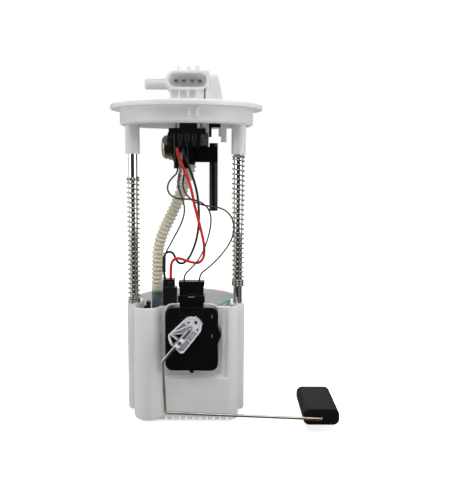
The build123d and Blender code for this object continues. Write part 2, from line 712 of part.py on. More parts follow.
# Sensor housing: rounded box, open at the back, with a bump, a tab and a cable channel
sensor_mid_x = (sensor_x0 + sensor_x1) / 2
sensor_mid_z = (sensor_z0 + sensor_z1) / 2
sensor_w, sensor_h = sensor_x1 - sensor_x0, sensor_z1 - sensor_z0
with BuildPart() as sensor_housing:
    with BuildSketch(Plane.XZ.offset(-plate_y)):
        with Locations((sensor_mid_x, sensor_mid_z)):
            RectangleRounded(sensor_w, sensor_h, sensor_corner_r)
        with BuildLine():
            Polyline((sensor_x1 - 1, sensor_bump_z[0]), (sensor_x1, sensor_bump_z[0]),
                     (sensor_bump_x, sensor_bump_z[1]), (sensor_bump_x, sensor_bump_z[2]),
                     (sensor_x1, sensor_bump_z[3]), (sensor_x1 - 1, sensor_bump_z[3]), close=True)
        make_face()
        with Locations((sensor_tab_x, sensor_z0)):
            Rectangle(sensor_tab_w, 2 * sensor_tab_h)
    extrude(amount=sensor_t)
    front_edges = sensor_housing.faces().sort_by(Axis.Y)[0].edges()
    chamfer(front_edges, 0.5)
    with BuildSketch(Plane.XZ.offset(-plate_y)):
        with Locations((sensor_mid_x, sensor_mid_z)):
            RectangleRounded(sensor_w - 2 * sensor_wall, sensor_h - 2 * sensor_wall,
                             sensor_corner_r - sensor_wall)
    extrude(amount=sensor_t - sensor_wall, mode=Mode.SUBTRACT)
    box_between(channel_x0, channel_x1, sensor_front_y - channel_proud, sensor_front_y + 1,
                channel_z, sensor_z1)
    with BuildSketch(Plane.XZ.offset(-plate_y)):
        with Locations((pivot_x, pivot_z)):
            Circle(shaft_d / 2 + running_gap)
    extrude(amount=sensor_t + 2, mode=Mode.SUBTRACT)
keep(sensor_housing.part, "sensor_housing")

# Ceramic card behind the wiper
with BuildPart() as sensor_card:
    box_between(sensor_x0 + sensor_wall + fit_gap, sensor_x1 - sensor_wall - fit_gap,
                card_back_y - card_t, card_back_y, pivot_z - 22, sensor_z1 - sensor_corner_r)
keep(sensor_card.part, "sensor_card")

# Sensor plug on top of the housing: flared head, body and wide collar
plug_mid_x = (channel_x0 + channel_x1) / 2
sensor_plug_y0, sensor_plug_y1 = sensor_front_y + 1.0, plate_y - 0.4
with BuildPart() as sensor_plug:
    box_between(-4.7, 17.1, sensor_plug_y0 - 0.6, sensor_plug_y1, -157.7, -152.0)
    box_between(-3.4, 16.1, sensor_plug_y0, sensor_plug_y1, sensor_z1, -144.5)
    with BuildSketch(Plane.XZ.offset(-sensor_plug_y1)):
        with BuildLine():
            Polyline((-3.4, -146.0), (-4.2, -143.6), (-4.2, -140.3), (16.8, -140.3),
                     (16.8, -143.6), (16.1, -146.0), close=True)
        make_face()
    extrude(amount=sensor_plug_y1 - sensor_plug_y0)
    box_between(3.4, 9.2, sensor_plug_y0 - 0.9, sensor_plug_y0 + 1, -153.6, -150.6)
keep(sensor_plug.part, "sensor_plug")


# Holder of the float arm, in its own plane: u runs along the wire from the pivot
along = Vector(math.cos(math.radians(arm_turn)), 0, math.sin(math.radians(arm_turn)))
holder_plane = Plane(origin=(pivot_x, holder_back_y, pivot_z), x_dir=along, z_dir=(0, -1, 0))


def holder_outline(inset):
    """Outline of the arm holder: round head about the pivot, body widening to the foot."""
    with BuildSketch() as plan:
        with BuildLine():
            left = Polyline((-2.9, -8.0 + inset), (16.0, -10.1 + inset), (18.2 - inset, -8.4 + inset),
                            (20.8 - inset, -4.4 + inset), (21.6 - inset, 6.8 - inset),
                            (19.6 - inset, 9.0 - inset), (-1.9, 8.3 - inset))
            ThreePointArc(left @ 1, (-9.5 + inset, 0.3), left @ 0)
        make_face()
    return plan.sketch


# Windows and ribs of the holder in that plane
holder_windows = (((-1.4, -5.4), (-4.6, -3.2), (-1.2, -3.2)),
                  ((-6.3, -1.4), (-7.8, 1.1), (-5.2, 2.2), (-4.9, 0.3)),
                  ((-3.9, 4.4), (-2.2, 6.7), (-1.2, 4.8)),
                  ((12.7, -7.0), (8.5, -2.6), (8.5, -1.4), (13.4, -1.4)),
                  ((15.2, -7.6), (15.2, -1.6), (19.6, -1.6), (18.0, -5.6)))
holder_ribs = (((11.9, -8.6), (0.0, -2.8)), ((13.4, -8.0), (7.6, -2.0)), ((14.3, -9.0), (14.3, -1.0)),
               ((9.0, 2.6), (9.0, 8.2)), ((2.0, 2.9), (20.4, 2.9)))

with BuildPart() as float_arm_holder:
    with BuildSketch(holder_plane):
        add(holder_outline(0))
    extrude(amount=holder_plate_t)
    with BuildSketch(holder_plane):
        add(holder_outline(0))
        add(holder_outline(holder_rim_w), mode=Mode.SUBTRACT)
        with PolarLocations(9.3, 5, start_angle=150, angular_range=56):
            Rectangle(2.2, 1.1)
    extrude(amount=holder_rim_h)

    # raised head about the pivot, then ribs across the plate
    with BuildSketch(holder_plane):
        add(holder_outline(0))
        with Locations((-5.0, 0)):
            Rectangle(11.0, 24.0, mode=Mode.INTERSECT)
        Circle(3.9)
    extrude(amount=holder_head_h)
    with BuildSketch(holder_plane):
        for (u0, v0), (u1, v1) in holder_ribs:
            with Locations(Location(((u0 + u1) / 2, (v0 + v1) / 2, 0),
                                    (0, 0, math.degrees(math.atan2(v1 - v0, u1 - u0))))):
                Rectangle(math.hypot(u1 - u0, v1 - v0), holder_rib_w)
    extrude(amount=holder_rim_h)

    # windows through it
    with BuildSketch(holder_plane):
        for window in holder_windows:
            with BuildLine():
                Polyline(*window, close=True)
            make_face()
    extrude(amount=holder_rim_h, mode=Mode.SUBTRACT)
    # two clips that grip the wire, each a block with a groove
    with BuildSketch(holder_plane):
        with Locations((11.4, 1.3), (17.8, 1.0)):
            Rectangle(3.0, 4.8)
    extrude(amount=holder_rim_h + arm_wire_d)
    # shaft through the housing, with the hole that the wire's end turns into
    with BuildSketch(holder_plane):
        Circle(shaft_d / 2)
    extrude(amount=-(wiper_back_y - wiper_t - holder_back_y))
    with Locations((pivot_x, (arm_wire_y + holder_back_y) / 2 + 3.0, pivot_z)):
        Cylinder(arm_wire_d / 2 + fit_gap, 14.0, rotation=(90, 0, 0), mode=Mode.SUBTRACT)
    # groove for the wire, open to the front
    groove_y = arm_wire_y + arm_wire_d * 0.9
    with BuildSketch(Plane(origin=(pivot_x, groove_y, pivot_z), x_dir=along, z_dir=(0, -1, 0))):
        with Locations((12, 0)):
            Rectangle(34, arm_wire_d + 2 * fit_gap)
    extrude(amount=arm_wire_d * 2, mode=Mode.SUBTRACT)
keep(float_arm_holder.part, "float_arm_holder")

# Wiper on the inner end of the shaft
with BuildPart() as wiper:
    with BuildSketch(Plane(origin=(pivot_x, wiper_back_y, pivot_z), x_dir=along, z_dir=(0, -1, 0))):
        Circle(4.2)
        with Locations((-7.0, 0)):
            Rectangle(10.0, 3.4)
        with Locations((-12.6, 1.1), (-12.6, -1.1)):
            Rectangle(3.6, 1.2)
    extrude(amount=wiper_t)
keep(wiper.part, "wiper")

# Float arm: one bent wire from the pivot to the far side of the float
float_back_y = float_front_y + float_l
with BuildPart() as float_arm:
    with BuildLine() as arm_line:
        FilletPolyline((pivot_x, holder_back_y + 6.0, pivot_z), (pivot_x, arm_wire_y, pivot_z),
                       (arm_knee[0], arm_knee_y, arm_knee[1]),
                       (arm_ankle[0], arm_ankle_y, arm_ankle[1]),
                       (float_x, arm_end_y, float_z), (float_x, float_back_y + arm_tail, float_z),
                       radius=[arm_wire_d * 0.9, arm_bend_r, arm_bend_r, arm_wire_d * 0.9])
    with BuildSketch(Plane(origin=arm_line.line @ 0, z_dir=arm_line.line % 0)):
        Circle(arm_wire_d / 2)
    sweep()
keep(float_arm.part, "float_arm")

# Float: closed-cell block with rounded long edges, bored for the wire
with BuildPart() as float_block:
    with BuildSketch(Plane.XZ.offset(-float_front_y)):
        with Locations((float_x, float_z)):
            RectangleRounded(float_w, float_h, float_corner_r)
    extrude(amount=-float_l)
    fillet(float_block.faces().filter_by(Axis.Y).edges(), 1.0)
    with BuildSketch(Plane.XZ.offset(-float_front_y + 1)):
        with Locations((float_x, float_z)):
            Circle(arm_wire_d / 2 + running_gap)
    extrude(amount=-float_l - 2, mode=Mode.SUBTRACT)
keep(float_block.part, "float_block")

# Push-on retainer behind the float
with BuildPart() as float_retainer:
    with BuildSketch(Plane.XZ.offset(-float_back_y - 0.3)):
        with Locations((float_x, float_z)):
            Circle(retainer_d / 2)
            Circle(arm_wire_d / 2, mode=Mode.SUBTRACT)
    extrude(amount=-retainer_t)
keep(float_retainer.part, "float_retainer")


# Pump, modelled about its own axis and then moved to its place in the cup
pump_place = Location((pump_x, pump_y, 0))
shell_r = pump_d / 2 - pump_shell_t

with BuildPart() as pump_case:
    with BuildSketch(Plane.XZ):
        with BuildLine():
            Polyline((shell_r, pump_case_z0), (pump_d / 2, pump_case_z0), (pump_d / 2, pump_case_z1),
                     (shell_r - 1.5, pump_case_z1), (shell_r - 1.5, pump_case_z1 - pump_shell_t),
                     (shell_r, pump_case_z1 - pump_shell_t), close=True)
        make_face()
    revolve(axis=Axis.Z)
keep(pump_case.part.moved(pump_place), "pump_case")

with BuildPart() as pump_magnets:
    with BuildSketch(Plane.XY.offset(magnet_z0)):
        Circle(shell_r)
        Circle(shell_r - magnet_t, mode=Mode.SUBTRACT)
        Rectangle(10, pump_d, mode=Mode.SUBTRACT)
    extrude(amount=magnet_z1 - magnet_z0)
keep(pump_magnets.part.moved(pump_place), "pump_magnets")

# Outlet cap: plug in the case, top with the barb, valve chamber and upper bearing
barb_dx, barb_dy = pump_barb_x - pump_x, pump_barb_y - pump_y
with BuildPart() as pump_outlet_cap:
    with BuildSketch(Plane.XY.offset(cap_joint_z)):
        Circle(shell_r - 1.5 - fit_gap)
    extrude(amount=pump_cap_top_z - cap_joint_z)
    with BuildSketch(Plane.XY.offset(pump_case_z1 + 0.2)):
        Circle(pump_d / 2)
    extrude(amount=pump_cap_top_z - 3.0 - pump_case_z1 - 0.2)
    with BuildSketch(Plane.XY.offset(pump_cap_top_z - 1)):
        with Locations((barb_dx, barb_dy)):
            Circle(barb_d / 2)
    extrude(amount=pump_barb_top_z - pump_cap_top_z + 1)
    with BuildSketch(Plane.XY.offset(valve_seat_z)):
        with Locations((barb_dx, barb_dy)):
            Circle(valve_bore_d / 2)
    extrude(amount=pump_barb_top_z - valve_seat_z, mode=Mode.SUBTRACT)
    with BuildSketch(Plane.XY.offset(cap_joint_z)):
        with Locations((barb_dx, barb_dy)):
            Circle(valve_seat_d / 2)
    extrude(amount=valve_seat_z - cap_joint_z, mode=Mode.SUBTRACT)
    with BuildSketch(Plane.XY.offset(cap_joint_z)):
        Circle(motor_shaft_d / 2 + running_gap)
    extrude(amount=4.0, mode=Mode.SUBTRACT)
keep(pump_outlet_cap.part.moved(pump_place), "pump_outlet_cap")

# Outlet check valve in the barb
with BuildPart() as outlet_check_valve:
    with BuildSketch(Plane.XZ):
        with BuildLine():
            Polyline((0, 0.05), (valve_seat_d / 2, 0.05), (valve_bore_d / 2 - 0.3, 1.2),
                     (valve_bore_d / 2 - 0.3, 3.4), (1.2, 4.4), (0, 4.4), close=True)
        make_face()
    revolve(axis=Axis.Z)
keep(outlet_check_valve.part.moved(Location((pump_barb_x, pump_barb_y, valve_seat_z))),
     "outlet_check_valve")

# Inlet cap: lower bearing, impeller chamber and the inlet nipple
impeller_room = 0.4
with BuildPart() as pump_inlet_cap:
    with BuildSketch(Plane.XY.offset(pump_case_z0)):
        Circle(shell_r - fit_gap)
    extrude(amount=9.0)
    with BuildSketch(Plane.XY.offset(impeller_z - impeller_room)):
        Circle(impeller_d / 2 + impeller_room)
    extrude(amount=impeller_t + 2 * impeller_room, mode=Mode.SUBTRACT)
    with BuildSketch(Plane.XY.offset(impeller_z)):
        Circle(motor_shaft_d / 2 + running_gap)
    extrude(amount=9.0, mode=Mode.SUBTRACT)
    with BuildSketch(Plane.XY.offset(pump_case_z0)):
        with Locations((impeller_d / 2 - 3, 0)):
            Circle(2.4)
    extrude(amount=impeller_z - pump_case_z0, mode=Mode.SUBTRACT)
keep(pump_inlet_cap.part.moved(pump_place), "pump_inlet_cap")

# Armature on its shaft, with slots and commutator
commutator_top_z = cap_joint_z - 2.0
with BuildPart() as pump_armature:
    with BuildSketch(Plane.XY.offset(impeller_z)):
        Circle(motor_shaft_d / 2)
    extrude(amount=cap_joint_z + 3.6 - impeller_z)
    with BuildSketch(Plane.XY.offset(magnet_z0 + 1)):
        Circle(armature_d / 2)
        with PolarLocations(armature_d / 2, 8):
            Rectangle(4.0, 1.6, mode=Mode.SUBTRACT)
    extrude(amount=magnet_z1 - magnet_z0 - 2)
    with BuildSketch(Plane.XY.offset(magnet_z1 - 1)):
        Circle(commutator_d / 2)
    extrude(amount=commutator_top_z - magnet_z1 + 1)
keep(pump_armature.part.moved(pump_place), "pump_armature")

# Impeller with a ring of vane slots
with BuildPart() as pump_impeller:
    with BuildSketch(Plane.XY.offset(impeller_z)):
        Circle(impeller_d / 2)
        Circle(motor_shaft_d / 2, mode=Mode.SUBTRACT)
        with PolarLocations(impeller_d / 2 - 2.6, impeller_vanes):
            Rectangle(2.8, 1.6, mode=Mode.SUBTRACT)
    extrude(amount=impeller_t)
keep(pump_impeller.part.moved(pump_place), "pump_impeller")

# Carbon brushes on the commutator
with BuildPart() as pump_brushes:
    brush_in = commutator_d / 2 + 0.2
    for turn in (1, -1):
        y0, y1 = sorted((turn * brush_in, turn * (brush_in + 5.5)))
        box_between(-2.2, 2.2, y0, y1, magnet_z1 + 1.5, cap_joint_z)
keep(pump_brushes.part.moved(pump_place), "pump_brushes")

# Bracket that centres the pump in the cup, with the stepped latch at the left
bracket_z = pump_case_z1 - 8.0
with BuildPart() as pump_bracket:
    with BuildSketch(Plane.XY.offset(bracket_z)):
        with Locations((pump_x, pump_y)):
            Circle(pump_d / 2 + fit_gap + bracket_w)
            with Locations((0, 22)):
                Rectangle(bracket_arm_w, 50)
            with Locations((38, -8)):
                Rectangle(60, bracket_arm_w)
            with Locations((-24, -8)):
                Rectangle(20, bracket_arm_w)
        add(cup_outline(cup_wall + seat_gap), mode=Mode.INTERSECT)
        add(ear_outline(), mode=Mode.SUBTRACT)
        with Locations((pump_x, pump_y)):
            Circle(pump_d / 2 + fit_gap, mode=Mode.SUBTRACT)
    extrude(amount=bracket_t)
    box_between(-38.2, -31.2, -17.0, -11.5, bracket_z, -173.0)
    box_between(-36.4, -31.2, -17.0, -11.5, -174.0, -167.4)
    box_between(-34.4, -31.2, -17.0, -11.5, -168.0, -163.6)
keep(pump_bracket.part, "pump_bracket")

# Translucent clip that stands on the bracket's right arm
bracket_top_z = bracket_z + bracket_t
with BuildPart() as retainer_clip:
    with BuildSketch(Plane.XZ.offset(6.4)):
        with BuildLine():
            Polyline((27.0, -169.4), (36.6, -164.2), (34.4, -170.6), (32.6, bracket_top_z),
                     (34.0, bracket_top_z), (35.9, -170.4), (38.2, -162.0), (26.5, -168.2),
                     close=True)
        make_face()
    extrude(amount=7.2)
keep(retainer_clip.part, "retainer_clip")

# Filter sock under the pump
with BuildPart() as inlet_strainer:
    strainer_z = pump_case_z0 - 0.3 - strainer_t
    with BuildSketch(Plane.XY.offset(strainer_z)):
        with Locations((pump_x, pump_y)):
            RectangleRounded(strainer_l, strainer_w, 9)
    extrude(amount=strainer_t)
    fillet(inlet_strainer.edges().filter_by(GeomType.LINE, reverse=False)
           .filter_by(Axis.Z, reverse=True), 1.2)
keep(inlet_strainer.part, "inlet_strainer")

# Pump plug on the outlet cap
pump_plug_x0, pump_plug_x1 = -19.8, -9.9
pump_plug_y = -14.0
pump_plug_top_z = -144.0
with BuildPart() as pump_plug:
    box_between(pump_plug_x0, pump_plug_x1, pump_plug_y - 4.5, pump_plug_y + 4.5, -152.0,
                pump_plug_top_z)
    box_between(pump_plug_x0, -7.8, pump_plug_y - 5.5, pump_plug_y + 4.5, pump_cap_top_z, -151.0)
    box_between(-15.2, -12.0, pump_plug_y - 5.3, pump_plug_y, -152.0, -146.5)
keep(pump_plug.part, "pump_plug")


def corner_radii(points):
    """Largest arc that each corner's runs allow, for a route of straight runs."""
    radii = []
    for before, corner, after in zip(points, points[1:], points[2:]):
        run_in, run_out = Vector(corner) - Vector(before), Vector(after) - Vector(corner)
        half_turn = math.radians(run_in.get_angle(run_out) / 2)
        radii.append(0.45 * min(run_in.length, run_out.length) / math.tan(half_turn))
    return radii


# Corrugated fuel hose, plain here, open along its bore
hose_start = hose_top + (hose_second - hose_top) * 0.17
hose_route = [tuple(hose_start), tuple(hose_second), (-3.8, 5.8, -66.0), (-7.9, 5.6, -77.6),
              (-14.0, 5.2, -89.8), (-19.8, 4.8, -101.5), (-24.1, 4.2, -112.8), (-26.2, 3.6, -124.0),
              (-26.5, 3.0, -140.5), (pump_barb_x, pump_barb_y, -159.0),
              (pump_barb_x, pump_barb_y, pump_cap_top_z)]
with BuildPart() as fuel_hose:
    with BuildLine() as hose_line:
        FilletPolyline(*hose_route, radius=corner_radii(hose_route))
    with BuildSketch(Plane(origin=hose_line.line @ 0, z_dir=hose_line.line % 0)):
        Circle(hose_d / 2)
        Circle(hose_bore_d / 2, mode=Mode.SUBTRACT)
    sweep()
    hose_end = hose_line.wires()[0].length
print("fuel_hose", "length", round(hose_end, 1), "radii", [round(r) for r in corner_radii(hose_route)],
      "volume", round(fuel_hose.part.volume),
      round(math.pi / 4 * (hose_d ** 2 - hose_bore_d ** 2) * hose_end))
keep(fuel_hose.part, "fuel_hose")

# Wires: each route's points are chosen along the real wire
wire_routes = {
    "wire_pump_positive": (red_wire_d, [
        (-8.6, -13.5, plug_bottom_z), (-8.6, -13.5, -37.0), (-4.9, -14.0, -43.8),
        (-1.4, -14.0, -51.5), (2.6, -14.4, -60.0), (5.3, -14.6, -69.5), (7.0, -14.6, -79.5),
        (10.2, -14.8, -91.5), (13.2, -15.0, -103.0), (15.6, -15.0, -114.0), (15.9, -15.0, -124.0),
        (11.8, -15.4, -130.4), (5.0, -15.6, -129.6), (-1.4, -15.8, -127.4), (-7.8, -16.0, -125.4),
        (-12.6, -16.0, -129.0), (-13.2, -15.4, -137.0), (-13.2, -15.4, pump_plug_top_z)]),
    "wire_pump_negative": (black_wire_d, [
        (-2.6, -11.6, plug_bottom_z), (-2.6, -11.6, -36.5), (0.4, -11.4, -43.0),
        (3.4, -11.2, -50.5), (6.9, -10.8, -60.0), (9.7, -10.4, -71.5), (10.9, -10.2, -84.0),
        (10.9, -10.0, -96.5), (9.4, -10.0, -108.0), (6.0, -10.0, -119.0), (0.6, -10.0, -128.6),
        (-6.4, -10.0, -132.2), (-12.2, -10.2, -128.2), (-15.2, -10.4, -123.6),
        (-18.0, -11.0, -122.2), (*splice_xy, -125.2), (*splice_xy, -135.6),
        (-18.0, -13.4, -139.8), (-18.0, -13.4, pump_plug_top_z)]),
    "wire_level_signal": (thin_wire_d, [
        (-7.6, -6.0, leg_bottom_z), (-7.6, -6.0, -53.0), (-11.8, -9.0, -57.0),
        (-15.2, -12.5, -61.6), (-15.9, -15.5, -67.2), (-13.0, -18.0, -72.0), (-7.4, -19.0, -74.5),
        (-0.4, -19.4, -74.9), (7.0, -19.8, -75.3), (13.2, -20.2, -77.6), (18.6, -20.8, -81.6),
        (21.4, -21.6, -88.0), (21.6, -23.4, -96.0), (19.6, -27.0, -106.0), (15.8, -31.5, -117.0),
        (10.4, -36.5, -126.4), (4.2, -41.0, -132.0), (0.0, -43.4, -136.2),
        (0.0, -43.4, -140.3)]),
    "wire_level_supply": (thin_wire_d, [
        (-1.6, -4.0, leg_bottom_z), (-1.6, -4.0, -53.0), (-3.0, -4.2, -58.4),
        (-3.4, -4.6, -64.6), (-1.0, -5.0, -70.8), (4.0, -5.6, -76.4), (10.4, -6.8, -79.8),
        (17.6, -10.5, -81.2), (25.6, -15.5, -81.6), (33.0, -21.0, -83.6), (38.6, -26.5, -88.4),
        (41.2, -30.5, -95.8), (40.2, -33.5, -104.8), (35.4, -36.0, -114.0), (28.0, -38.5, -122.8),
        (19.8, -41.0, -130.4), (12.9, -43.2, -135.0), (12.6, -43.4, -140.3)]),
    "wire_regulator_ground": (thin_wire_d, [
        (-5.2, -8.4, leg_bottom_z), (-5.2, -8.4, -60.5), (-5.4, -13.4, -66.2),
        (-4.0, -20.0, -71.0), (-1.5, -23.4, -77.0), (-0.4, -24.4, -84.0), (-2.0, -24.4, -91.8),
        (-5.8, -22.8, -100.2), (-10.4, -19.8, -108.4), (-14.2, -16.4, -115.6),
        (-17.7, -13.8, -121.2), (-18.6, -13.0, splice_top_z + 0.1)]),
}
for name, (wire_d, route) in wire_routes.items():
    with BuildPart() as wire:
        with BuildLine() as wire_line:
            FilletPolyline(*route, radius=corner_radii(route))
        with BuildSketch(Plane(origin=wire_line.line @ 0, z_dir=wire_line.line % 0)):
            Circle(wire_d / 2)
        sweep()
    length = wire_line.wires()[0].length
    print(name, "length", round(length, 1), "radii", [round(r, 1) for r in corner_radii(route)],
          "volume", round(wire.part.volume, 1), round(math.pi / 4 * wire_d ** 2 * length, 1))
    keep(wire.part, name)

# Splice that joins the ground wire to the pump's return wire, and the sleeve at its top
with BuildPart() as ground_splice:
    with BuildSketch(Plane.XY.offset(splice_top_z - splice_l)):
        with Locations(splice_xy):
            Circle(splice_d / 2)
            Circle(black_wire_d / 2 + cord_gap, mode=Mode.SUBTRACT)
    extrude(amount=splice_l)
keep(ground_splice.part, "ground_splice")

with BuildPart() as ground_sleeve:
    with BuildSketch(Plane.XY.offset(leg_bottom_z - sleeve_l)):
        with Locations((-5.2, -8.4)):
            Circle(sleeve_d / 2)
            Circle(thin_wire_d / 2 + cord_gap, mode=Mode.SUBTRACT)
    extrude(amount=sleeve_l)
keep(ground_sleeve.part, "ground_sleeve")
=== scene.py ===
import json
import math

import bpy
import numpy as np
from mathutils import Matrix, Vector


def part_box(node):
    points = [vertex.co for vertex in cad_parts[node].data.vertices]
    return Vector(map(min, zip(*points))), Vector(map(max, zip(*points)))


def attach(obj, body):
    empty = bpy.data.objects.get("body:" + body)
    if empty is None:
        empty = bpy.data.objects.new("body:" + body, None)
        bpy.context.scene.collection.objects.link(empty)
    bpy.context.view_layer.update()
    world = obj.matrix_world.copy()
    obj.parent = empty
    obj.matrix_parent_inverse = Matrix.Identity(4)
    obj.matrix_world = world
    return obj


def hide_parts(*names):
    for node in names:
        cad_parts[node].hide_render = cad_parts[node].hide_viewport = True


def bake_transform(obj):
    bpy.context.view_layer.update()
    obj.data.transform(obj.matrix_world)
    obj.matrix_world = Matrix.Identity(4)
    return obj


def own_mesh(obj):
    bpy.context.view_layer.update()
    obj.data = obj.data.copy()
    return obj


# Fuel pump module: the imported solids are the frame, and this script gives them their finishes,
# their springs, their corrugated hose and their wires. Metres, +Z up, -Y towards the camera.

mm = 0.001
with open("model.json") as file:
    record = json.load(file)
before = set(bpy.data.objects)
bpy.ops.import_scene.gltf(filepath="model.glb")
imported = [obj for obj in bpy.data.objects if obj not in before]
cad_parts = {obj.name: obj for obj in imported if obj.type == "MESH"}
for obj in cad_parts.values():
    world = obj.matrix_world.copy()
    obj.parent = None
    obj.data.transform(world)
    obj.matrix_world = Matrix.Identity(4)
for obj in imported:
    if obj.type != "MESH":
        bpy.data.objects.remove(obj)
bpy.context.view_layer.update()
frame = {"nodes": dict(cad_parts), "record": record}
nodes = frame["nodes"]
scene = bpy.context.scene


# Helpers

def hexToLinear(code):
    # sRGB hex to linear light: below 0.04045 a straight line, above it a 2.4 power curve
    srgb = np.array([int(code[i:i + 2], 16) for i in (1, 3, 5)]) / 255
    linear = np.where(srgb <= 0.04045, srgb / 12.92, ((srgb + 0.055) / 1.055) ** 2.4)
    return (*linear.tolist(), 1.0)


def addNode(tree, kind, settings=None, **sockets):
    # adds a node, sets its fields, then fills its sockets with values or links them
    node = tree.nodes.new(kind)
    for field, value in (settings or {}).items():
        setattr(node, field, value)
    for name, value in sockets.items():
        socket = node.inputs[int(name[1:])] if name[0] == "n" and name[1:].isdigit() else \
            node.inputs[name.replace("_", " ")]
        if isinstance(value, bpy.types.NodeSocket):
            tree.links.new(value, socket)
        else:
            socket.default_value = value
    return node


def newMaterial(name):
    # an empty material with its Principled shader wired to the output
    material = bpy.data.materials.new(name)
    material.use_nodes = True
    tree = material.node_tree
    return material, tree, tree.nodes["Principled BSDF"]


def objectNoise(tree, size, detail=3.0, stretch=(1, 1, 1)):
    # noise on Object coordinates whose grains are about size metres across
    place = addNode(tree, "ShaderNodeTexCoord")
    spread = addNode(tree, "ShaderNodeMapping", Vector=place.outputs["Object"], Scale=stretch)
    return addNode(tree, "ShaderNodeTexNoise", Vector=spread.outputs[0], Scale=1 / size,
                   Detail=detail, Roughness=0.55)


def tintBetween(tree, factor, darkHex, lightHex, low=0.3, high=0.7):
    # colour that runs from dark to light as factor goes from low to high
    ramp = addNode(tree, "ShaderNodeValToRGB", Fac=factor)
    ramp.color_ramp.elements[0].position = low
    ramp.color_ramp.elements[1].position = high
    ramp.color_ramp.elements[0].color = hexToLinear(darkHex)
    ramp.color_ramp.elements[1].color = hexToLinear(lightHex)
    return ramp.outputs["Color"]


def bumpFrom(tree, height, depth, strength=1.0):
    # surface relief of depth metres
    return addNode(tree, "ShaderNodeBump", Height=height, Distance=depth,
                   Strength=strength).outputs["Normal"]


def rangeOf(tree, value, low, high):
    # stretches a 0 to 1 value to run from low to high
    return addNode(tree, "ShaderNodeMapRange", n0=value, n3=low, n4=high).outputs[0]


def makeMesh(name, points, faces, material, smooth=True):
    # object at the origin whose mesh holds these points and faces
    mesh = bpy.data.meshes.new(name)
    mesh.from_pydata(np.asarray(points).tolist(), [], faces)
    mesh.polygons.foreach_set("use_smooth", [smooth] * len(mesh.polygons))
    mesh.materials.append(material)
    mesh.update()
    piece = bpy.data.objects.new(name, mesh)
    scene.collection.objects.link(piece)
    return piece


def gridFaces(rows, columns):
    # quads between the rings of a tube of rows rings with columns points each, ends closed
    ring, step = np.meshgrid(np.arange(rows - 1), np.arange(columns), indexing="ij")
    here, beside = ring * columns + step, ring * columns + (step + 1) % columns
    quads = np.stack([here, beside, beside + columns, here + columns], -1).reshape(-1, 4).tolist()
    quads.append(list(range(columns))[::-1])
    quads.append(list(range((rows - 1) * columns, rows * columns)))
    return quads


def tubeAlong(name, path, radius, material, sides=16):
    # a circle of the given radius at each path point, square to the path. The ring's first
    # direction is world Y made square to the tangent, and its second completes the pair.
    path = np.asarray(path, float)
    tangent = np.gradient(path, axis=0)
    tangent /= np.linalg.norm(tangent, axis=1, keepdims=True)
    across = np.array([0.0, 1.0, 0.0]) - tangent * tangent[:, 1:2]
    across /= np.linalg.norm(across, axis=1, keepdims=True)
    other = np.cross(tangent, across)
    angle = np.linspace(0, 2 * math.pi, sides, endpoint=False)
    size = np.broadcast_to(radius, len(path))[:, None, None]
    ring = np.cos(angle)[None, :, None] * across[:, None] + \
        np.sin(angle)[None, :, None] * other[:, None]
    points = (path[:, None] + size * ring).reshape(-1, 3)
    return makeMesh(name, points, gridFaces(len(path), sides), material)


def splinePath(points, fineness=16):
    # smooth line that has these points, given in millimetres, as its control points
    data = bpy.data.curves.new("route", "CURVE")
    data.dimensions = "3D"
    spline = data.splines.new("NURBS")
    spline.points.add(len(points) - 1)
    for point, place in zip(spline.points, points):
        point.co = (place[0] * mm, place[1] * mm, place[2] * mm, 1.0)
    spline.order_u = 3
    spline.use_endpoint_u = True
    spline.resolution_u = fineness
    carrier = bpy.data.objects.new("route", data)
    mesh = bpy.data.meshes.new_from_object(carrier)
    line = np.empty(len(mesh.vertices) * 3)
    mesh.vertices.foreach_get("co", line)
    bpy.data.objects.remove(carrier)
    bpy.data.meshes.remove(mesh)
    return line.reshape(-1, 3)


def pathLength(path):
    return float(np.linalg.norm(np.diff(path, axis=0), axis=1).sum())


def softenEdges(node, width):
    # moulded edge: welds the node's triangles, joins flat ones, rounds sharp edges
    piece = nodes[node]
    weld = piece.modifiers.new("weld", "WELD")
    weld.merge_threshold = edges["weld"]
    flat = piece.modifiers.new("flat", "DECIMATE")
    flat.decimate_type = "DISSOLVE"
    flat.angle_limit = math.radians(edges["flatWithin"])
    bevel = piece.modifiers.new("edge", "BEVEL")
    bevel.width = width
    bevel.segments = edges["segments"]
    bevel.limit_method = "ANGLE"
    bevel.angle_limit = math.radians(edges["sharpFrom"])
    piece.modifiers.new("shading", "WEIGHTED_NORMAL").keep_sharp = True


# Camera: 50 mm lens at about 0.6 m, 7 degrees down, fitted to the photograph

camera = {"lens": 50.0, "sensor": 36.0, "place": (34.0 * mm, -597.8 * mm, -43.0 * mm),
          "pitch": 0.1235, "roll": -0.0048}
cameraData = bpy.data.cameras.new("camera")
cameraData.sensor_fit = "VERTICAL"
cameraData.sensor_height = camera["sensor"]
cameraData.lens = camera["lens"]
cameraData.clip_start = 0.01
cameraObject = bpy.data.objects.new("camera", cameraData)
cameraObject.location = camera["place"]
cameraObject.rotation_mode = "XYZ"
cameraObject.rotation_euler = (math.pi / 2 - camera["pitch"], camera["roll"], 0)
scene.collection.objects.link(cameraObject)
scene.camera = cameraObject
print("camera placed")


# Finishes

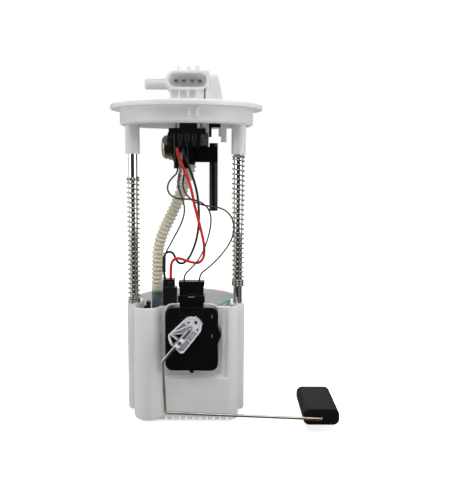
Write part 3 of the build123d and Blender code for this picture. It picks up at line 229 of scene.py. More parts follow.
def acetal(name, darkHex, lightHex, milk, paintedRecessShare=0.0, paintedRecessHex="#57535a", reach=4 * mm):
    # moulded natural acetal: milky, so light soaks well in, with a waxy broad highlight. Where
    # the recess share is over 0, corners that little light reaches are painted towards the recess
    # colour by that share: painted shade where that colour is dark, painted light where it is
    # white.
    material, tree, shader = newMaterial(name)
    cloud = objectNoise(tree, 22 * mm, detail=2)
    ripple = objectNoise(tree, 5 * mm, detail=1)
    colour = tintBetween(tree, cloud.outputs["Fac"], darkHex, lightHex)
    if paintedRecessShare > 0:
        # occlusion decides where the painted recess colour, painted shade or painted light, goes
        corner = addNode(tree, "ShaderNodeAmbientOcclusion", {"samples": 8}, Distance=reach)
        depth = addNode(tree, "ShaderNodeMapRange", n0=corner.outputs["AO"], n1=0.25, n2=0.95,
                        n3=paintedRecessShare, n4=0.0)
        shade = addNode(tree, "ShaderNodeMix", {"data_type": "RGBA"}, n0=depth.outputs[0],
                        n6=colour, n7=hexToLinear(paintedRecessHex))
        colour = shade.outputs[2]
    tree.links.new(colour, shader.inputs["Base Color"])
    tree.links.new(rangeOf(tree, cloud.outputs["Fac"], 0.36, 0.44), shader.inputs["Roughness"])
    tree.links.new(bumpFrom(tree, ripple.outputs["Fac"], 0.02 * mm, 0.5), shader.inputs["Normal"])
    shader.inputs["Subsurface Weight"].default_value = milk
    shader.inputs["Subsurface Radius"].default_value = (1.0, 1.0, 1.0)
    shader.inputs["Subsurface Scale"].default_value = 5 * mm
    shader.inputs["IOR"].default_value = 1.48
    return material


def glassFilledNylon(name, darkHex, lightHex, roughness, pebble=0.03 * mm):
    # black nylon with glass fibre: dark, slightly cloudy, with a fine pebbled skin, drawn 1.3 mm
    # across because the real grain is too fine to show
    material, tree, shader = newMaterial(name)
    cloud = objectNoise(tree, 6 * mm, detail=3)
    skin = objectNoise(tree, 1.3 * mm, detail=2)
    tree.links.new(tintBetween(tree, cloud.outputs["Fac"], darkHex, lightHex),
                   shader.inputs["Base Color"])
    tree.links.new(rangeOf(tree, cloud.outputs["Fac"], roughness - 0.05, roughness + 0.05),
                   shader.inputs["Roughness"])
    tree.links.new(bumpFrom(tree, skin.outputs["Fac"], pebble, 0.6), shader.inputs["Normal"])
    shader.inputs["Specular IOR Level"].default_value = 0.35
    return material


def highlightedNylon(name, faceY):
    # the black plug's ribs and end block stand proud, and their faces are painted grey as a painted
    # highlight
    material = glassFilledNylon(name, "#060607", "#0d0d0e", 0.4)
    tree = material.node_tree
    shader = tree.nodes["Principled BSDF"]
    plainBlack = shader.inputs["Base Color"].links[0].from_socket
    place = addNode(tree, "ShaderNodeTexCoord")
    depth = addNode(tree, "ShaderNodeSeparateXYZ", Vector=place.outputs["Object"])
    proud = addNode(tree, "ShaderNodeMapRange", n0=depth.outputs["Y"], n1=faceY,
                    n2=faceY - 0.3 * mm, n3=0.0, n4=1.0)
    # grey of the painted highlight on the proud faces, broken up by noise
    highlightNoise = objectNoise(tree, 1.6 * mm, detail=3)
    grey = tintBetween(tree, highlightNoise.outputs["Fac"], "#363538", "#5a595d")
    mixed = addNode(tree, "ShaderNodeMix", {"data_type": "RGBA"}, n0=proud.outputs[0], n6=plainBlack,
                    n7=grey)
    tree.links.new(mixed.outputs[2], shader.inputs["Base Color"])
    return material


def drawnSteel(name, darkHex, lightHex, roughness, lineSize=1.5 * mm, stretch=1.0):
    # drawn or polished steel: mirror-like, with faint streaks along the draw direction
    material, tree, shader = newMaterial(name)
    lines = objectNoise(tree, lineSize, detail=2, stretch=(1, 1, 1 / stretch))
    tree.links.new(tintBetween(tree, lines.outputs["Fac"], darkHex, lightHex),
                   shader.inputs["Base Color"])
    tree.links.new(rangeOf(tree, lines.outputs["Fac"], roughness * 0.8, roughness * 1.2),
                   shader.inputs["Roughness"])
    shader.inputs["Metallic"].default_value = 1.0
    return material


def wireJacket(name, darkHex, lightHex, roughness):
    # extruded wire insulation: satin, a little uneven along its length
    material, tree, shader = newMaterial(name)
    uneven = objectNoise(tree, 5 * mm, detail=3)
    skin = objectNoise(tree, 0.6 * mm, detail=2)
    tree.links.new(tintBetween(tree, uneven.outputs["Fac"], darkHex, lightHex),
                   shader.inputs["Base Color"])
    tree.links.new(rangeOf(tree, uneven.outputs["Fac"], roughness - 0.05, roughness + 0.1),
                   shader.inputs["Roughness"])
    tree.links.new(bumpFrom(tree, skin.outputs["Fac"], 0.02 * mm, 0.6), shader.inputs["Normal"])
    shader.inputs["IOR"].default_value = 1.5
    return material


def corrugatedNylon(name, cuffAttribute):
    # cream translucent nylon that turns blue-grey where it is stretched over the pump's barb,
    # which the hose's own attribute says, so that the colour stays put when the hose bends
    material, tree, shader = newMaterial(name)
    cloud = objectNoise(tree, 8 * mm, detail=3)
    cuff = addNode(tree, "ShaderNodeAttribute", {"attribute_name": cuffAttribute})
    cream = tintBetween(tree, cloud.outputs["Fac"], "#cfcab6", "#dfdbc9")
    grey = tintBetween(tree, cloud.outputs["Fac"], "#3d4a52", "#66757d", 0.35, 0.65)
    mixed = addNode(tree, "ShaderNodeMix", {"data_type": "RGBA"}, n0=cuff.outputs["Fac"],
                    n6=cream, n7=grey)
    tree.links.new(mixed.outputs[2], shader.inputs["Base Color"])
    tree.links.new(rangeOf(tree, cloud.outputs["Fac"], 0.3, 0.42), shader.inputs["Roughness"])
    shader.inputs["Subsurface Weight"].default_value = 0.6
    shader.inputs["Subsurface Radius"].default_value = (1.0, 0.95, 0.8)
    shader.inputs["Subsurface Scale"].default_value = 4 * mm
    shader.inputs["IOR"].default_value = 1.5
    return material


def nitrileFoam(name):
    # closed-cell nitrile foam: matt warm black with a fine cellular skin
    material, tree, shader = newMaterial(name)
    place = addNode(tree, "ShaderNodeTexCoord")
    cells = addNode(tree, "ShaderNodeTexVoronoi", Vector=place.outputs["Object"],
                    Scale=1 / (1.4 * mm))
    cloud = objectNoise(tree, 9 * mm, detail=4)
    tree.links.new(tintBetween(tree, cloud.outputs["Fac"], "#0d0a09", "#151110"),
                   shader.inputs["Base Color"])
    tree.links.new(rangeOf(tree, cloud.outputs["Fac"], 0.62, 0.78), shader.inputs["Roughness"])
    tree.links.new(bumpFrom(tree, cells.outputs["Distance"], 0.05 * mm, 0.5),
                   shader.inputs["Normal"])
    shader.inputs["Specular IOR Level"].default_value = 0.12
    return material


def tintedNylon(name, darkHex, lightHex):
    # green moulded nylon that some light passes through
    material, tree, shader = newMaterial(name)
    cloud = objectNoise(tree, 4 * mm, detail=2)
    tree.links.new(tintBetween(tree, cloud.outputs["Fac"], darkHex, lightHex),
                   shader.inputs["Base Color"])
    shader.inputs["Roughness"].default_value = 0.25
    shader.inputs["Transmission Weight"].default_value = 0.35
    shader.inputs["IOR"].default_value = 1.5
    return material


def clearSleeve(name):
    # clear heat-shrink sleeve: glossy, see-through and finely creased
    material, tree, shader = newMaterial(name)
    creases = objectNoise(tree, 1.2 * mm, detail=3)
    tree.links.new(bumpFrom(tree, creases.outputs["Fac"], 0.15 * mm, 0.8), shader.inputs["Normal"])
    shader.inputs["Base Color"].default_value = hexToLinear("#eef0f1")
    shader.inputs["Roughness"].default_value = 0.08
    shader.inputs["Transmission Weight"].default_value = 0.9
    shader.inputs["IOR"].default_value = 1.45
    return material


def tinnedBrass(name, tinBelow):
    # stamped brass blades: warm yellow metal with soft smears, and tails dipped in grey tin
    material, tree, shader = newMaterial(name)
    smear = objectNoise(tree, 2.5 * mm, detail=3)
    brass = tintBetween(tree, smear.outputs["Fac"], "#7a5a34", "#b08a56")
    tin = tintBetween(tree, smear.outputs["Fac"], "#9a999b", "#b6b5b8")
    place = addNode(tree, "ShaderNodeTexCoord")
    height = addNode(tree, "ShaderNodeSeparateXYZ", Vector=place.outputs["Object"])
    dipped = addNode(tree, "ShaderNodeMath", {"operation": "LESS_THAN"}, n0=height.outputs["Z"],
                     n1=tinBelow)
    mixed = addNode(tree, "ShaderNodeMix", {"data_type": "RGBA"}, n0=dipped.outputs[0], n6=brass,
                    n7=tin)
    tree.links.new(mixed.outputs[2], shader.inputs["Base Color"])
    tree.links.new(rangeOf(tree, smear.outputs["Fac"], 0.22, 0.38), shader.inputs["Roughness"])
    shader.inputs["Metallic"].default_value = 1.0
    return material


finish = {
    # flange and cup: white painted into their corners and recesses, as painted light
    "flange": acetal("flange_acetal", "#d8d7da", "#dcdbde", 0.85, 0.85, "#ffffff", 9 * mm),
    "cup": acetal("reservoir_acetal", "#d8d7d8", "#dcdbdc", 0.85, 1.0, "#ffffff", 7 * mm),
    # key ribs: the flange's acetal painted far lighter, as painted light where the ribs catch the
    # lamps
    "rib": acetal("acetal_rib_painted_light", "#f2f1f4", "#f7f6f9", 0.5),
    # holder and wire clips: corners and recesses painted dark grey, as painted shade
    "white": acetal("white_acetal", "#dedce5", "#e6e4ec", 0.3, paintedRecessShare=0.75),
    "black": glassFilledNylon("black_glass_filled_nylon", "#050505", "#0b0a0c", 0.42),
    "blackSmooth": glassFilledNylon("black_smooth_nylon", "#030303", "#070607", 0.38, 0.015 * mm),
    "blackRough": glassFilledNylon("rough_black_nylon", "#29282a", "#444244", 0.8, 0.12 * mm),
    # plug: black nylon with a painted highlight on its proud ribs and end block
    "plug": highlightedNylon("black_nylon_painted_highlight", -19.3 * mm),
    "rod": drawnSteel("chromed_rod_steel", "#cfcdc7", "#dedcd6", 0.07, stretch=12),
    "spring": drawnSteel("spring_wire_steel", "#928e89", "#adaaa4", 0.2, 4 * mm),
    "arm": drawnSteel("arm_wire_steel", "#a39890", "#bdb2a8", 0.3, 9 * mm),
    "can": drawnSteel("drawn_can_steel", "#8d8270", "#a99c88", 0.2, 4 * mm),
    "pump": drawnSteel("plated_pump_steel", "#9a9a98", "#b8b8b4", 0.22, 4 * mm),
    "brass": tinnedBrass("tinned_brass", -2 * mm),
    "hose": corrugatedNylon("corrugated_nylon", "stretched"),
    "foam": nitrileFoam("nitrile_foam"),
    "green": tintedNylon("green_nylon", "#58b596", "#8fdcc0"),
    "sleeve": clearSleeve("clear_heat_shrink"),
    "redWire": wireJacket("red_insulation", "#d0100f", "#e81c1a", 0.34),
    "blackWire": wireJacket("black_insulation", "#0c0c0c", "#1e1d1c", 0.38),
    "greyWire": wireJacket("thin_black_insulation", "#161515", "#2c2a28", 0.42),
    "rubber": glassFilledNylon("moulded_rubber", "#0b0b0b", "#161616", 0.6),
    "ferrite": glassFilledNylon("sintered_ferrite", "#1b1b1d", "#29292b", 0.55),
    "wrap": glassFilledNylon("woven_black_wrap", "#0d0c0c", "#1f1d1d", 0.6, 0.15 * mm),
    # latch edges: light grey on black nylon, a painted glint
    "latch": glassFilledNylon("nylon_edge_painted_glint", "#8e8e91", "#a9a9ac", 0.3, 0.005 * mm),
    "card": acetal("ceramic_card", "#c9c6ba", "#dedbcf", 0.05),
    "mesh": acetal("woven_nylon_sock", "#cfcdc2", "#e6e4da", 0.1),
}

finishOfSlot = {
    "flange_plastic": "flange", "reservoir_plastic": "cup", "white_plastic": "white",
    "black_plastic": "black", "rod_steel": "rod", "spring_steel": "spring", "arm_steel": "arm",
    "can_steel": "can", "pump_steel": "pump", "terminal_brass": "brass",
    "magnet_ferrite": "ferrite", "carbon": "ferrite", "card_ceramic": "card",
    "hose_plastic": "hose", "float_rubber": "foam", "valve_rubber": "rubber",
    "clip_green": "green", "strainer_mesh": "mesh", "wire_red": "redWire",
    "wire_black": "greyWire", "sleeve_clear": "sleeve",
}
for part in frame["record"]["subparts"]:
    piece = nodes[part["node"]]
    piece.data.materials.clear()
    piece.data.materials.append(finish[finishOfSlot[part["material_slot"]]])
for name, coat in {"sensor_housing": "blackSmooth", "sensor_plug": "blackSmooth",
                   "harness_plug": "plug", "regulator_clip": "blackRough"}.items():
    nodes[name].data.materials[0] = finish[coat]
print("finishes made")


# Cords: the routes are in millimetres and keep close to the solids' own

hose = {
    "route": [(2.92, 6.0, -45.79), (0.6, 6.0, -54.5), (-3.8, 5.8, -66.0), (-7.9, 5.6, -77.6),
              (-14.0, 5.2, -89.8), (-19.8, 4.8, -101.5), (-24.1, 4.2, -112.8),
              (-26.2, 3.6, -124.0), (-26.5, 3.0, -140.5), (-26.6, 2.0, -159.0),
              (-26.6, 2.0, -178.0)],
    "crest": 5.5 * mm, "root": 4.35 * mm, "pitch": 3.75 * mm, "cuff": 4.95 * mm,
    "cuffStart": 27.5 * mm, "greyStart": 22.0 * mm, "topPlain": 1.0 * mm, "sides": 40,
    "step": 0.3 * mm,
}


def evenPath(path, step):
    # the same line at even steps along its length
    walked = np.concatenate([[0], np.cumsum(np.linalg.norm(np.diff(path, axis=0), axis=1))])
    at = np.linspace(0, walked[-1], int(walked[-1] / step) + 1)
    return np.stack([np.interp(at, walked, path[:, i]) for i in range(3)], 1), at


def makeHose():
    # radius along the hose: rounded square waves from root to crest, fading into a plain cuff
    path, at = evenPath(splinePath(hose["route"]), hose["step"])
    wave = np.tanh(2.2 * np.sin(2 * math.pi * at / hose["pitch"])) / math.tanh(2.2)
    ribbed = (hose["crest"] + hose["root"]) / 2 + wave * (hose["crest"] - hose["root"]) / 2
    plain = np.clip((at - (at[-1] - hose["cuffStart"])) / (2 * mm), 0, 1)
    plain = np.maximum(plain, np.clip(1 - at / hose["topPlain"], 0, 1))
    radius = ribbed * (1 - plain) + hose["cuff"] * plain
    piece = tubeAlong("hose_corrugated", path, radius, finish["hose"], hose["sides"])
    grey = np.clip((at - (at[-1] - hose["greyStart"])) / (3 * mm), 0, 1)
    stretched = piece.data.attributes.new("stretched", "FLOAT", "POINT")
    stretched.data.foreach_set("value", np.repeat(grey, hose["sides"]))
    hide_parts("fuel_hose")
    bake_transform(piece)


wires = {
    "wire_pump_positive": {"radius": 1.25 * mm, "finish": "redWire", "slot": "wire_red", "route": [
        (-7.4, -13.5, -31.3), (-7.2, -13.5, -36.5), (-4.4, -14.0, -43.8), (-1.2, -14.0, -51.5),
        (2.6, -14.4, -60.0), (5.3, -14.6, -69.5), (7.0, -14.6, -79.5), (10.2, -14.8, -91.5),
        (13.2, -15.0, -103.0), (15.6, -15.0, -114.0), (15.9, -15.0, -124.0),
        (11.8, -15.4, -130.4), (5.0, -15.6, -129.6), (-1.4, -15.8, -127.4),
        (-7.8, -16.0, -125.4), (-12.6, -16.0, -129.0), (-13.2, -15.4, -137.0),
        (-13.2, -15.4, -144.0)]},
    "wire_pump_negative": {"radius": 1.05 * mm, "finish": "blackWire", "slot": "wire_black",
                           "route": [
        (-2.6, -11.6, -31.3), (-2.6, -11.6, -36.5), (0.4, -11.4, -43.0), (3.4, -11.2, -50.5),
        (6.9, -10.8, -60.0), (9.7, -10.4, -71.5), (10.9, -10.2, -84.0), (10.9, -10.0, -96.5),
        (9.4, -10.0, -108.0), (6.4, -10.0, -118.0), (2.6, -10.0, -126.2), (-1.6, -10.0, -131.0),
        (-6.2, -10.0, -131.6), (-9.0, -10.1, -128.2), (-10.0, -10.2, -125.4),
        (-11.4, -10.4, -122.4), (-14.2, -10.7, -121.0), (-17.2, -11.1, -121.7),
        (-19.1, -11.5, -124.1), (-19.2, -11.6, -127.4), (-19.4, -11.6, -136.4),
        (-19.0, -12.8, -140.6), (-18.4, -13.4, -144.0)]},
    "wire_level_signal": {"radius": 0.7 * mm, "finish": "greyWire", "slot": "wire_black", "route": [
        (-7.6, -6.0, -49.4), (-7.6, -6.0, -53.0), (-11.8, -9.0, -57.0), (-15.2, -12.5, -61.6),
        (-15.9, -15.5, -67.2), (-13.0, -18.0, -72.0), (-7.4, -19.0, -74.5), (-0.4, -19.4, -74.9),
        (7.0, -19.8, -75.3), (13.2, -20.2, -77.6), (18.6, -20.8, -81.6), (21.4, -21.6, -88.0),
        (21.6, -23.4, -96.0), (19.6, -27.0, -106.0), (15.8, -31.5, -117.0), (10.4, -36.5, -126.4),
        (4.2, -41.0, -132.0), (0.0, -43.4, -136.2), (0.0, -43.4, -140.3)]},
    "wire_level_supply": {"radius": 0.7 * mm, "finish": "greyWire", "slot": "wire_black", "route": [
        (-1.6, -4.0, -49.4), (-1.6, -4.0, -53.0), (-3.0, -4.2, -58.4), (-3.4, -4.6, -64.6),
        (-1.0, -5.0, -70.8), (4.0, -5.6, -76.4), (10.4, -6.8, -79.8), (17.6, -10.5, -81.2),
        (25.6, -15.5, -81.6), (33.0, -21.0, -83.6), (38.6, -26.5, -88.4), (41.2, -30.5, -95.8),
        (40.2, -33.5, -104.8), (35.4, -36.0, -114.0), (28.0, -38.5, -122.8),
        (19.8, -41.0, -130.4), (12.9, -43.2, -135.0), (12.6, -43.4, -140.3)]},
    "wire_regulator_ground": {"radius": 0.7 * mm, "finish": "greyWire", "slot": "wire_black",
                              "route": [
        (-5.2, -8.4, -49.4), (-6.4, -8.6, -58.6), (-6.6, -13.0, -65.2), (-4.0, -20.0, -71.0),
        (-1.5, -23.4, -77.0), (-0.4, -24.4, -84.0), (-2.0, -24.4, -91.8), (-5.8, -22.8, -100.2),
        (-10.4, -19.8, -108.4), (-14.2, -16.4, -115.6), (-17.7, -13.8, -121.2),
        (-18.6, -13.0, -127.1)]},
}


def makeWire(name):
    settings = wires[name]
    path = splinePath(settings["route"], 10)
    piece = tubeAlong(name + "_line", path, settings["radius"], finish[settings["finish"]], 14)
    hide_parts(name)
    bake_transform(piece)
    print(name, "length", round(pathLength(path) / mm, 1))


makeHose()
for name in wires:
    makeWire(name)
print("cords laid")


# Sleeves: a crumpled clear sleeve on the ground wire, and the black wrap over its splice

sleeves = {
    "clear": {"replaces": "ground_sleeve", "finish": "sleeve", "slot": "sleeve_clear",
              "radius": 1.5 * mm, "crumple": 0.14, "route": [
                  (-4.1, -12.2, -35.5), (-4.4, -12.2, -39.7), (-4.9, -12.2, -45.2),
                  (-4.6, -12.0, -48.5), (-5.0, -11.0, -52.3), (-5.8, -10.0, -55.6),
                  (-6.5, -9.6, -59.5), (-6.6, -11.2, -62.8), (-6.4, -12.4, -64.8)]},
    "splice": {"replaces": "ground_splice", "finish": "wrap", "slot": "wire_black",
               "radius": 1.5 * mm, "crumple": 0.05, "route": [
                   (-19.1, -11.55, -125.4), (-19.2, -11.6, -128.8), (-19.25, -11.65, -132.5),
                   (-19.35, -11.8, -136.0), (-19.2, -12.2, -138.6)]},
}


# each wave: its share, its turns along (radians per mm) and around, and its start
crumpleWaves = [(1.0, 1.9, 2, 0.0), (0.7, 3.1, -1, 1.0), (0.5, 0.8, 3, 0.0)]


def makeSleeve(name):
    # tube whose radius swells and shrinks by the sum of the waves, scaled to the crumple
    settings = sleeves[name]
    path, at = evenPath(splinePath(settings["route"]), 0.4 * mm)
    sides = 18
    u, v = np.meshgrid(at / mm, np.linspace(0, 2 * math.pi, sides, endpoint=False), indexing="ij")
    swell = sum(share * np.sin(along * u + around * v + start)
                for share, along, around, start in crumpleWaves)
    swell /= sum(wave[0] for wave in crumpleWaves)
    tube = tubeAlong("sleeve_" + name, path, settings["radius"], finish[settings["finish"]], sides)
    points = np.empty(len(path) * sides * 3)
    tube.data.vertices.foreach_get("co", points)
    points = points.reshape(len(path), sides, 3)
    centre = path[:, None]
    points = centre + (points - centre) * (1 + settings["crumple"] * swell)[..., None]
    tube.data.vertices.foreach_set("co", points.ravel())
    tube.data.update()
    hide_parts(settings["replaces"])
    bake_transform(tube)


for name in sleeves:
    makeSleeve(name)
print("sleeves fitted")


# Small moulded bars: the flange's key ribs, the clips over the arm wire, the sensor's latches.
# Each is given by its two ends, its width and its depth, in millimetres.

bars = {
    "key_rib_left": {"ends": [(4.65, -56.9, -0.1), (4.65, -56.9, -8.7)], "width": 3.1,
                     "depth": 1.8, "finish": "rib", "slot": "flange_plastic",
                     "body": "flange_body"},
    "key_rib_right": {"ends": [(10.95, -56.0, -0.1), (10.95, -56.0, -8.7)], "width": 3.1,
                      "depth": 2.0, "finish": "rib", "slot": "flange_plastic",
                      "body": "flange_body"},
    "wire_clip_upper": {"ends": [(-2.5, -57.2, -186.4), (0.5, -57.2, -189.2)], "width": 2.8,
                        "depth": 4.6, "finish": "white", "slot": "white_plastic",
                        "body": "float_arm_body"},
    "wire_clip_lower": {"ends": [(-6.5, -57.2, -190.7), (-3.5, -57.2, -193.5)], "width": 2.8,
                        "depth": 4.6, "finish": "white", "slot": "white_plastic",
                        "body": "float_arm_body"},
    "sensor_latch_upper": {"ends": [(23.2, -51.2, -167.7), (23.2, -51.2, -170.4)], "width": 0.45,
                           "depth": 0.8, "finish": "latch", "slot": "black_plastic",
                           "body": "reservoir_body"},
    "sensor_latch_lower": {"ends": [(23.3, -51.2, -183.7), (23.3, -51.2, -186.9)], "width": 0.45,
                           "depth": 0.8, "finish": "latch", "slot": "black_plastic",
                           "body": "reservoir_body"},
    "plug_latch": {"ends": [(3.5, -50.9, -152.9), (8.9, -50.9, -152.9)], "width": 0.5,
                   "depth": 0.6, "finish": "latch", "slot": "black_plastic",
                   "body": "reservoir_body"},
}


def makeBar(name):
    # superellipse section |x|^4 + |y|^4 = 1 carried from end to end, narrowing to 0.3 at the ends
    settings = bars[name]
    start, end = (np.array(point) * mm for point in settings["ends"])
    along = (end - start) / np.linalg.norm(end - start)
    front = np.array([0.0, -1.0, 0.0])
    across = np.cross(front, along)
    u = np.linspace(-1, 1, 17)
    u = np.sign(u) * (1 - (1 - abs(u)) ** 1.6)
    size = np.maximum((1 - abs(u) ** 6) ** (1 / 3), 0.3)
    v = np.linspace(0, 2 * math.pi, 24, endpoint=False)
    side = np.sign(np.cos(v)) * abs(np.cos(v)) ** 0.5 * settings["width"] / 2 * mm
    rise = np.sign(np.sin(v)) * abs(np.sin(v)) ** 0.5 * settings["depth"] / 2 * mm
    centre = (start + end) / 2 + u[:, None] * (end - start) / 2
    ring = side[:, None] * across + rise[:, None] * front
    points = centre[:, None] + size[:, None, None] * ring
    piece = makeMesh(name, points.reshape(-1, 3), gridFaces(len(u), len(v)),
                     finish[settings["finish"]])
    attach(piece, settings["body"])


for name in bars:
    makeBar(name)
print("bars added")


# Springs: round wire wound left-handed, with closed turns at both ends

springs = {
    "left": {"node": "rod_spring_left", "body": "reservoir_body", "keep": 0.70,
             "closed": (2.0, 2.0), "turns": 29.1, "anchor": -164.5 * mm},
    "right": {"node": "rod_spring_right", "body": "flange_body", "keep": 0.68,
              "closed": (3.0, 1.5), "turns": 30.4, "anchor": -37.3 * mm},
    "wire": 0.7 * mm, "mean": 4.72 * mm, "stepsPerTurn": 28, "sides": 10,
}


def makeSpring(side):
    # helix whose rise per turn is one wire at the closed ends and even in between
    which = springs[side]
    low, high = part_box(which["node"])
    middle = (np.array(low) + np.array(high)) / 2
    wire = springs["wire"]
    turn = np.linspace(0, which["turns"], int(which["turns"] * springs["stepsPerTurn"]) + 1)
    bottom, top = which["closed"]
    open_ = np.clip(np.minimum(turn - bottom, which["turns"] - top - turn) / 0.6, 0, 1)
    rise = np.concatenate([[0], np.cumsum((open_[1:] + open_[:-1]) / 2 * np.diff(turn))])
    closedRise = 2.05 * wire
    height = high[2] - low[2] - 2 * wire
    pitch = (height - closedRise * (which["turns"] - rise[-1])) / rise[-1]
    z = low[2] + wire + closedRise * (turn - rise) + pitch * rise
    angle = -2 * math.pi * turn
    path = np.stack([middle[0] + springs["mean"] * np.cos(angle),
                     middle[1] + springs["mean"] * np.sin(angle), z], 1)
    tangent = np.gradient(path, axis=0)
    tangent /= np.linalg.norm(tangent, axis=1, keepdims=True)
    outward = np.stack([np.cos(angle), np.sin(angle), np.zeros_like(angle)], 1)
    outward -= tangent * (outward * tangent).sum(1, keepdims=True)
    outward /= np.linalg.norm(outward, axis=1, keepdims=True)
    other = np.cross(tangent, outward)
    around = np.linspace(0, 2 * math.pi, springs["sides"], endpoint=False)
    ring = np.cos(around)[None, :, None] * outward[:, None] + \
        np.sin(around)[None, :, None] * other[:, None]
    points = (path[:, None] + wire * ring).reshape(-1, 3)
    piece = makeMesh("spring_" + side, points, gridFaces(len(path), springs["sides"]),
                     finish["spring"])
    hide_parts(which["node"])
    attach(piece, which["body"])
    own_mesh(piece)


for side in ("left", "right"):
    makeSpring(side)
print("springs wound")


# Moulded edges on the plastic pieces

edges = {
    "weld": 0.002 * mm, "flatWithin": 0.5, "sharpFrom": 32, "segments": 2,  # mm, degrees
    "widths": {"tank_flange": 0.35, "reservoir_cup": 0.3, "harness_plug": 0.35,
               "regulator_holder": 0.4, "sensor_plug": 0.35, "pump_plug": 0.4,
               "sensor_housing": 0.3, "float_arm_holder": 0.18, "pump_bracket": 0.3,
               "retainer_clip": 0.12, "regulator_clip": 0.2, "pump_outlet_cap": 0.3},
}
for name, width in edges["widths"].items():
    softenEdges(name, width * mm)
print("edges softened")


# Room: pale floor, white background, soft lamps above, at both sides and behind

room = {"floorZ": -262 * mm, "floorSize": 6.0, "paper": "#f4f4f4", "bounce": "#c2c2c2",
        "glowNear": 0.66, "glowFar": 1.0, "near": 0.4, "far": 1.3}


def makeFloor():
    # white paper: a diffuse sheet that glows for the camera, more so far out where the lamps are
    # weak, so that only shadows show.
    # It throws up less light than white paper, and gloss looks through it at the surround.
    material, tree, shader = newMaterial("white_paper")
    tree.nodes.remove(shader)
    rays = addNode(tree, "ShaderNodeLightPath")
    paper = addNode(tree, "ShaderNodeBsdfDiffuse", Color=hexToLinear(room["paper"]))
    dimmer = addNode(tree, "ShaderNodeBsdfDiffuse", Color=hexToLinear(room["bounce"]))
    place = addNode(tree, "ShaderNodeTexCoord")
    reach = addNode(tree, "ShaderNodeVectorMath", {"operation": "LENGTH"},
                    n0=place.outputs["Object"])
    fill = addNode(tree, "ShaderNodeMapRange", n0=reach.outputs["Value"], n1=room["near"],
                   n2=room["far"], n3=room["glowNear"], n4=room["glowFar"])
    glow = addNode(tree, "ShaderNodeEmission", Color=(1, 1, 1, 1), Strength=fill.outputs[0])
    both = addNode(tree, "ShaderNodeAddShader", n0=paper.outputs[0], n1=glow.outputs[0])
    eye = addNode(tree, "ShaderNodeMath", {"operation": "MAXIMUM"},
                  n0=rays.outputs["Is Camera Ray"], n1=rays.outputs["Is Transmission Ray"])
    direct = addNode(tree, "ShaderNodeMixShader", n0=eye.outputs[0], n1=dimmer.outputs[0],
                     n2=both.outputs[0])
    through = addNode(tree, "ShaderNodeBsdfTransparent")
    mixed = addNode(tree, "ShaderNodeMixShader", n0=rays.outputs["Is Glossy Ray"],
                    n1=direct.outputs[0], n2=through.outputs[0])
    tree.links.new(mixed.outputs[0], tree.nodes["Material Output"].inputs["Surface"])
    half = room["floorSize"] / 2
    corners = [(-half, -half, room["floorZ"]), (half, -half, room["floorZ"]),
               (half, half, room["floorZ"]), (-half, half, room["floorZ"])]
    makeMesh("floor", corners, [(0, 1, 2, 3)], material, smooth=False)


# What a shiny surface sees around the object, by degrees from the front, right hand positive: a
# dark room behind the viewer, a white screen at the left, a dim one at the right, grey behind
surround = {
    "seenByGloss": [(-180, 0.4), (-145, 0.45), (-120, 0.9), (-62, 0.8), (-40, 0.07), (-5, 0.02),
                    (12, 0.04), (30, 0.14), (50, 0.28), (68, 0.07), (95, 0.06), (125, 0.4),
                    (180, 0.4)],
    "front": 0.13, "behind": 0.45, "tint": "#ffffff",
}


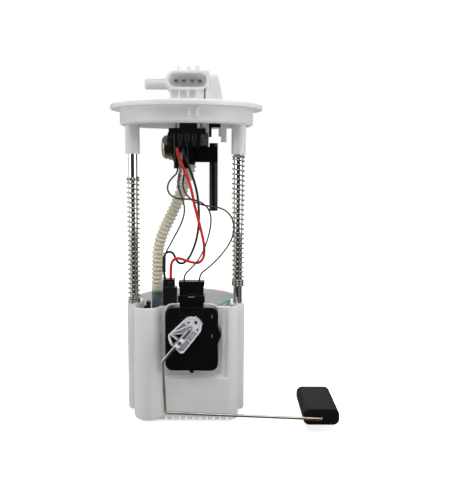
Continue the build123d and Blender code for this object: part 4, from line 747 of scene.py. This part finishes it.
def makeWorld():
    # white for the eye, the surround above for gloss, and soft light that is weaker in front
    world = bpy.data.worlds.new("studio")
    scene.world = world
    world.use_nodes = True
    tree = world.node_tree
    background = tree.nodes["Background"]
    place = addNode(tree, "ShaderNodeTexCoord")
    way = addNode(tree, "ShaderNodeSeparateXYZ", Vector=place.outputs["Generated"])
    soft = addNode(tree, "ShaderNodeMapRange", n0=way.outputs["Y"], n1=-0.8, n2=0.6,
                   n3=surround["front"], n4=surround["behind"])
    toFront = addNode(tree, "ShaderNodeMath", {"operation": "MULTIPLY"}, n0=way.outputs["Y"],
                      n1=-1.0)
    bearing = addNode(tree, "ShaderNodeMath", {"operation": "ARCTAN2"}, n0=way.outputs["X"],
                      n1=toFront.outputs[0])
    turn = addNode(tree, "ShaderNodeMapRange", n0=bearing.outputs[0], n1=-math.pi, n2=math.pi,
                   n3=0.0, n4=1.0)
    seen = addNode(tree, "ShaderNodeValToRGB", Fac=turn.outputs[0])
    stops = seen.color_ramp.elements
    for degrees, level in surround["seenByGloss"][1:-1]:
        stops.new(degrees / 360 + 0.5)
    for stop, (degrees, level) in zip(stops, surround["seenByGloss"]):
        stop.position = degrees / 360 + 0.5
        stop.color = (level, level, level, 1)
    rays = addNode(tree, "ShaderNodeLightPath")
    unseen = addNode(tree, "ShaderNodeMix", {"data_type": "FLOAT"},
                     n0=rays.outputs["Is Glossy Ray"], n2=soft.outputs[0], n3=seen.outputs["Color"])
    eye = addNode(tree, "ShaderNodeMath", {"operation": "MAXIMUM"},
                  n0=rays.outputs["Is Camera Ray"], n1=rays.outputs["Is Transmission Ray"])
    strength = addNode(tree, "ShaderNodeMix", {"data_type": "FLOAT"}, n0=eye.outputs[0],
                       n2=unseen.outputs[0], n3=1.0)
    background.inputs["Color"].default_value = hexToLinear(surround["tint"])
    tree.links.new(strength.outputs[0], background.inputs["Strength"])


lamps = {
    "lamp_high": {"place": (0.0, -0.8, 0.9), "size": 0.7, "watts": 8.2},
    "lamp_left": {"place": (-1.1, -0.45, 0.2), "size": 0.9, "watts": 5.5},
    "lamp_right": {"place": (1.1, -0.45, 0.2), "size": 0.9, "watts": 7.0},
    "lamp_behind": {"place": (0.0, 1.1, 0.6), "size": 0.9, "watts": 7.0},
}
lampTarget = (0, 0, -0.12)


def aimedAt(place, target):
    # rotation that points a lamp's -Z at the target
    x, y, z = (t - p for t, p in zip(target, place))
    return (math.atan2(math.hypot(x, y), -z), 0, math.atan2(y, x) - math.pi / 2)


def makeLamps():
    for name, settings in lamps.items():
        data = bpy.data.lights.new(name, "AREA")
        data.shape = "SQUARE"
        data.size = settings["size"]
        data.energy = settings["watts"]
        lamp = bpy.data.objects.new(name, data)
        lamp.location = settings["place"]
        lamp.rotation_euler = aimedAt(settings["place"], lampTarget)
        scene.collection.objects.link(lamp)


makeFloor()
makeWorld()
makeLamps()
scene.view_settings.view_transform = "Standard"
print("room lit")

bpy.context.view_layer.update()
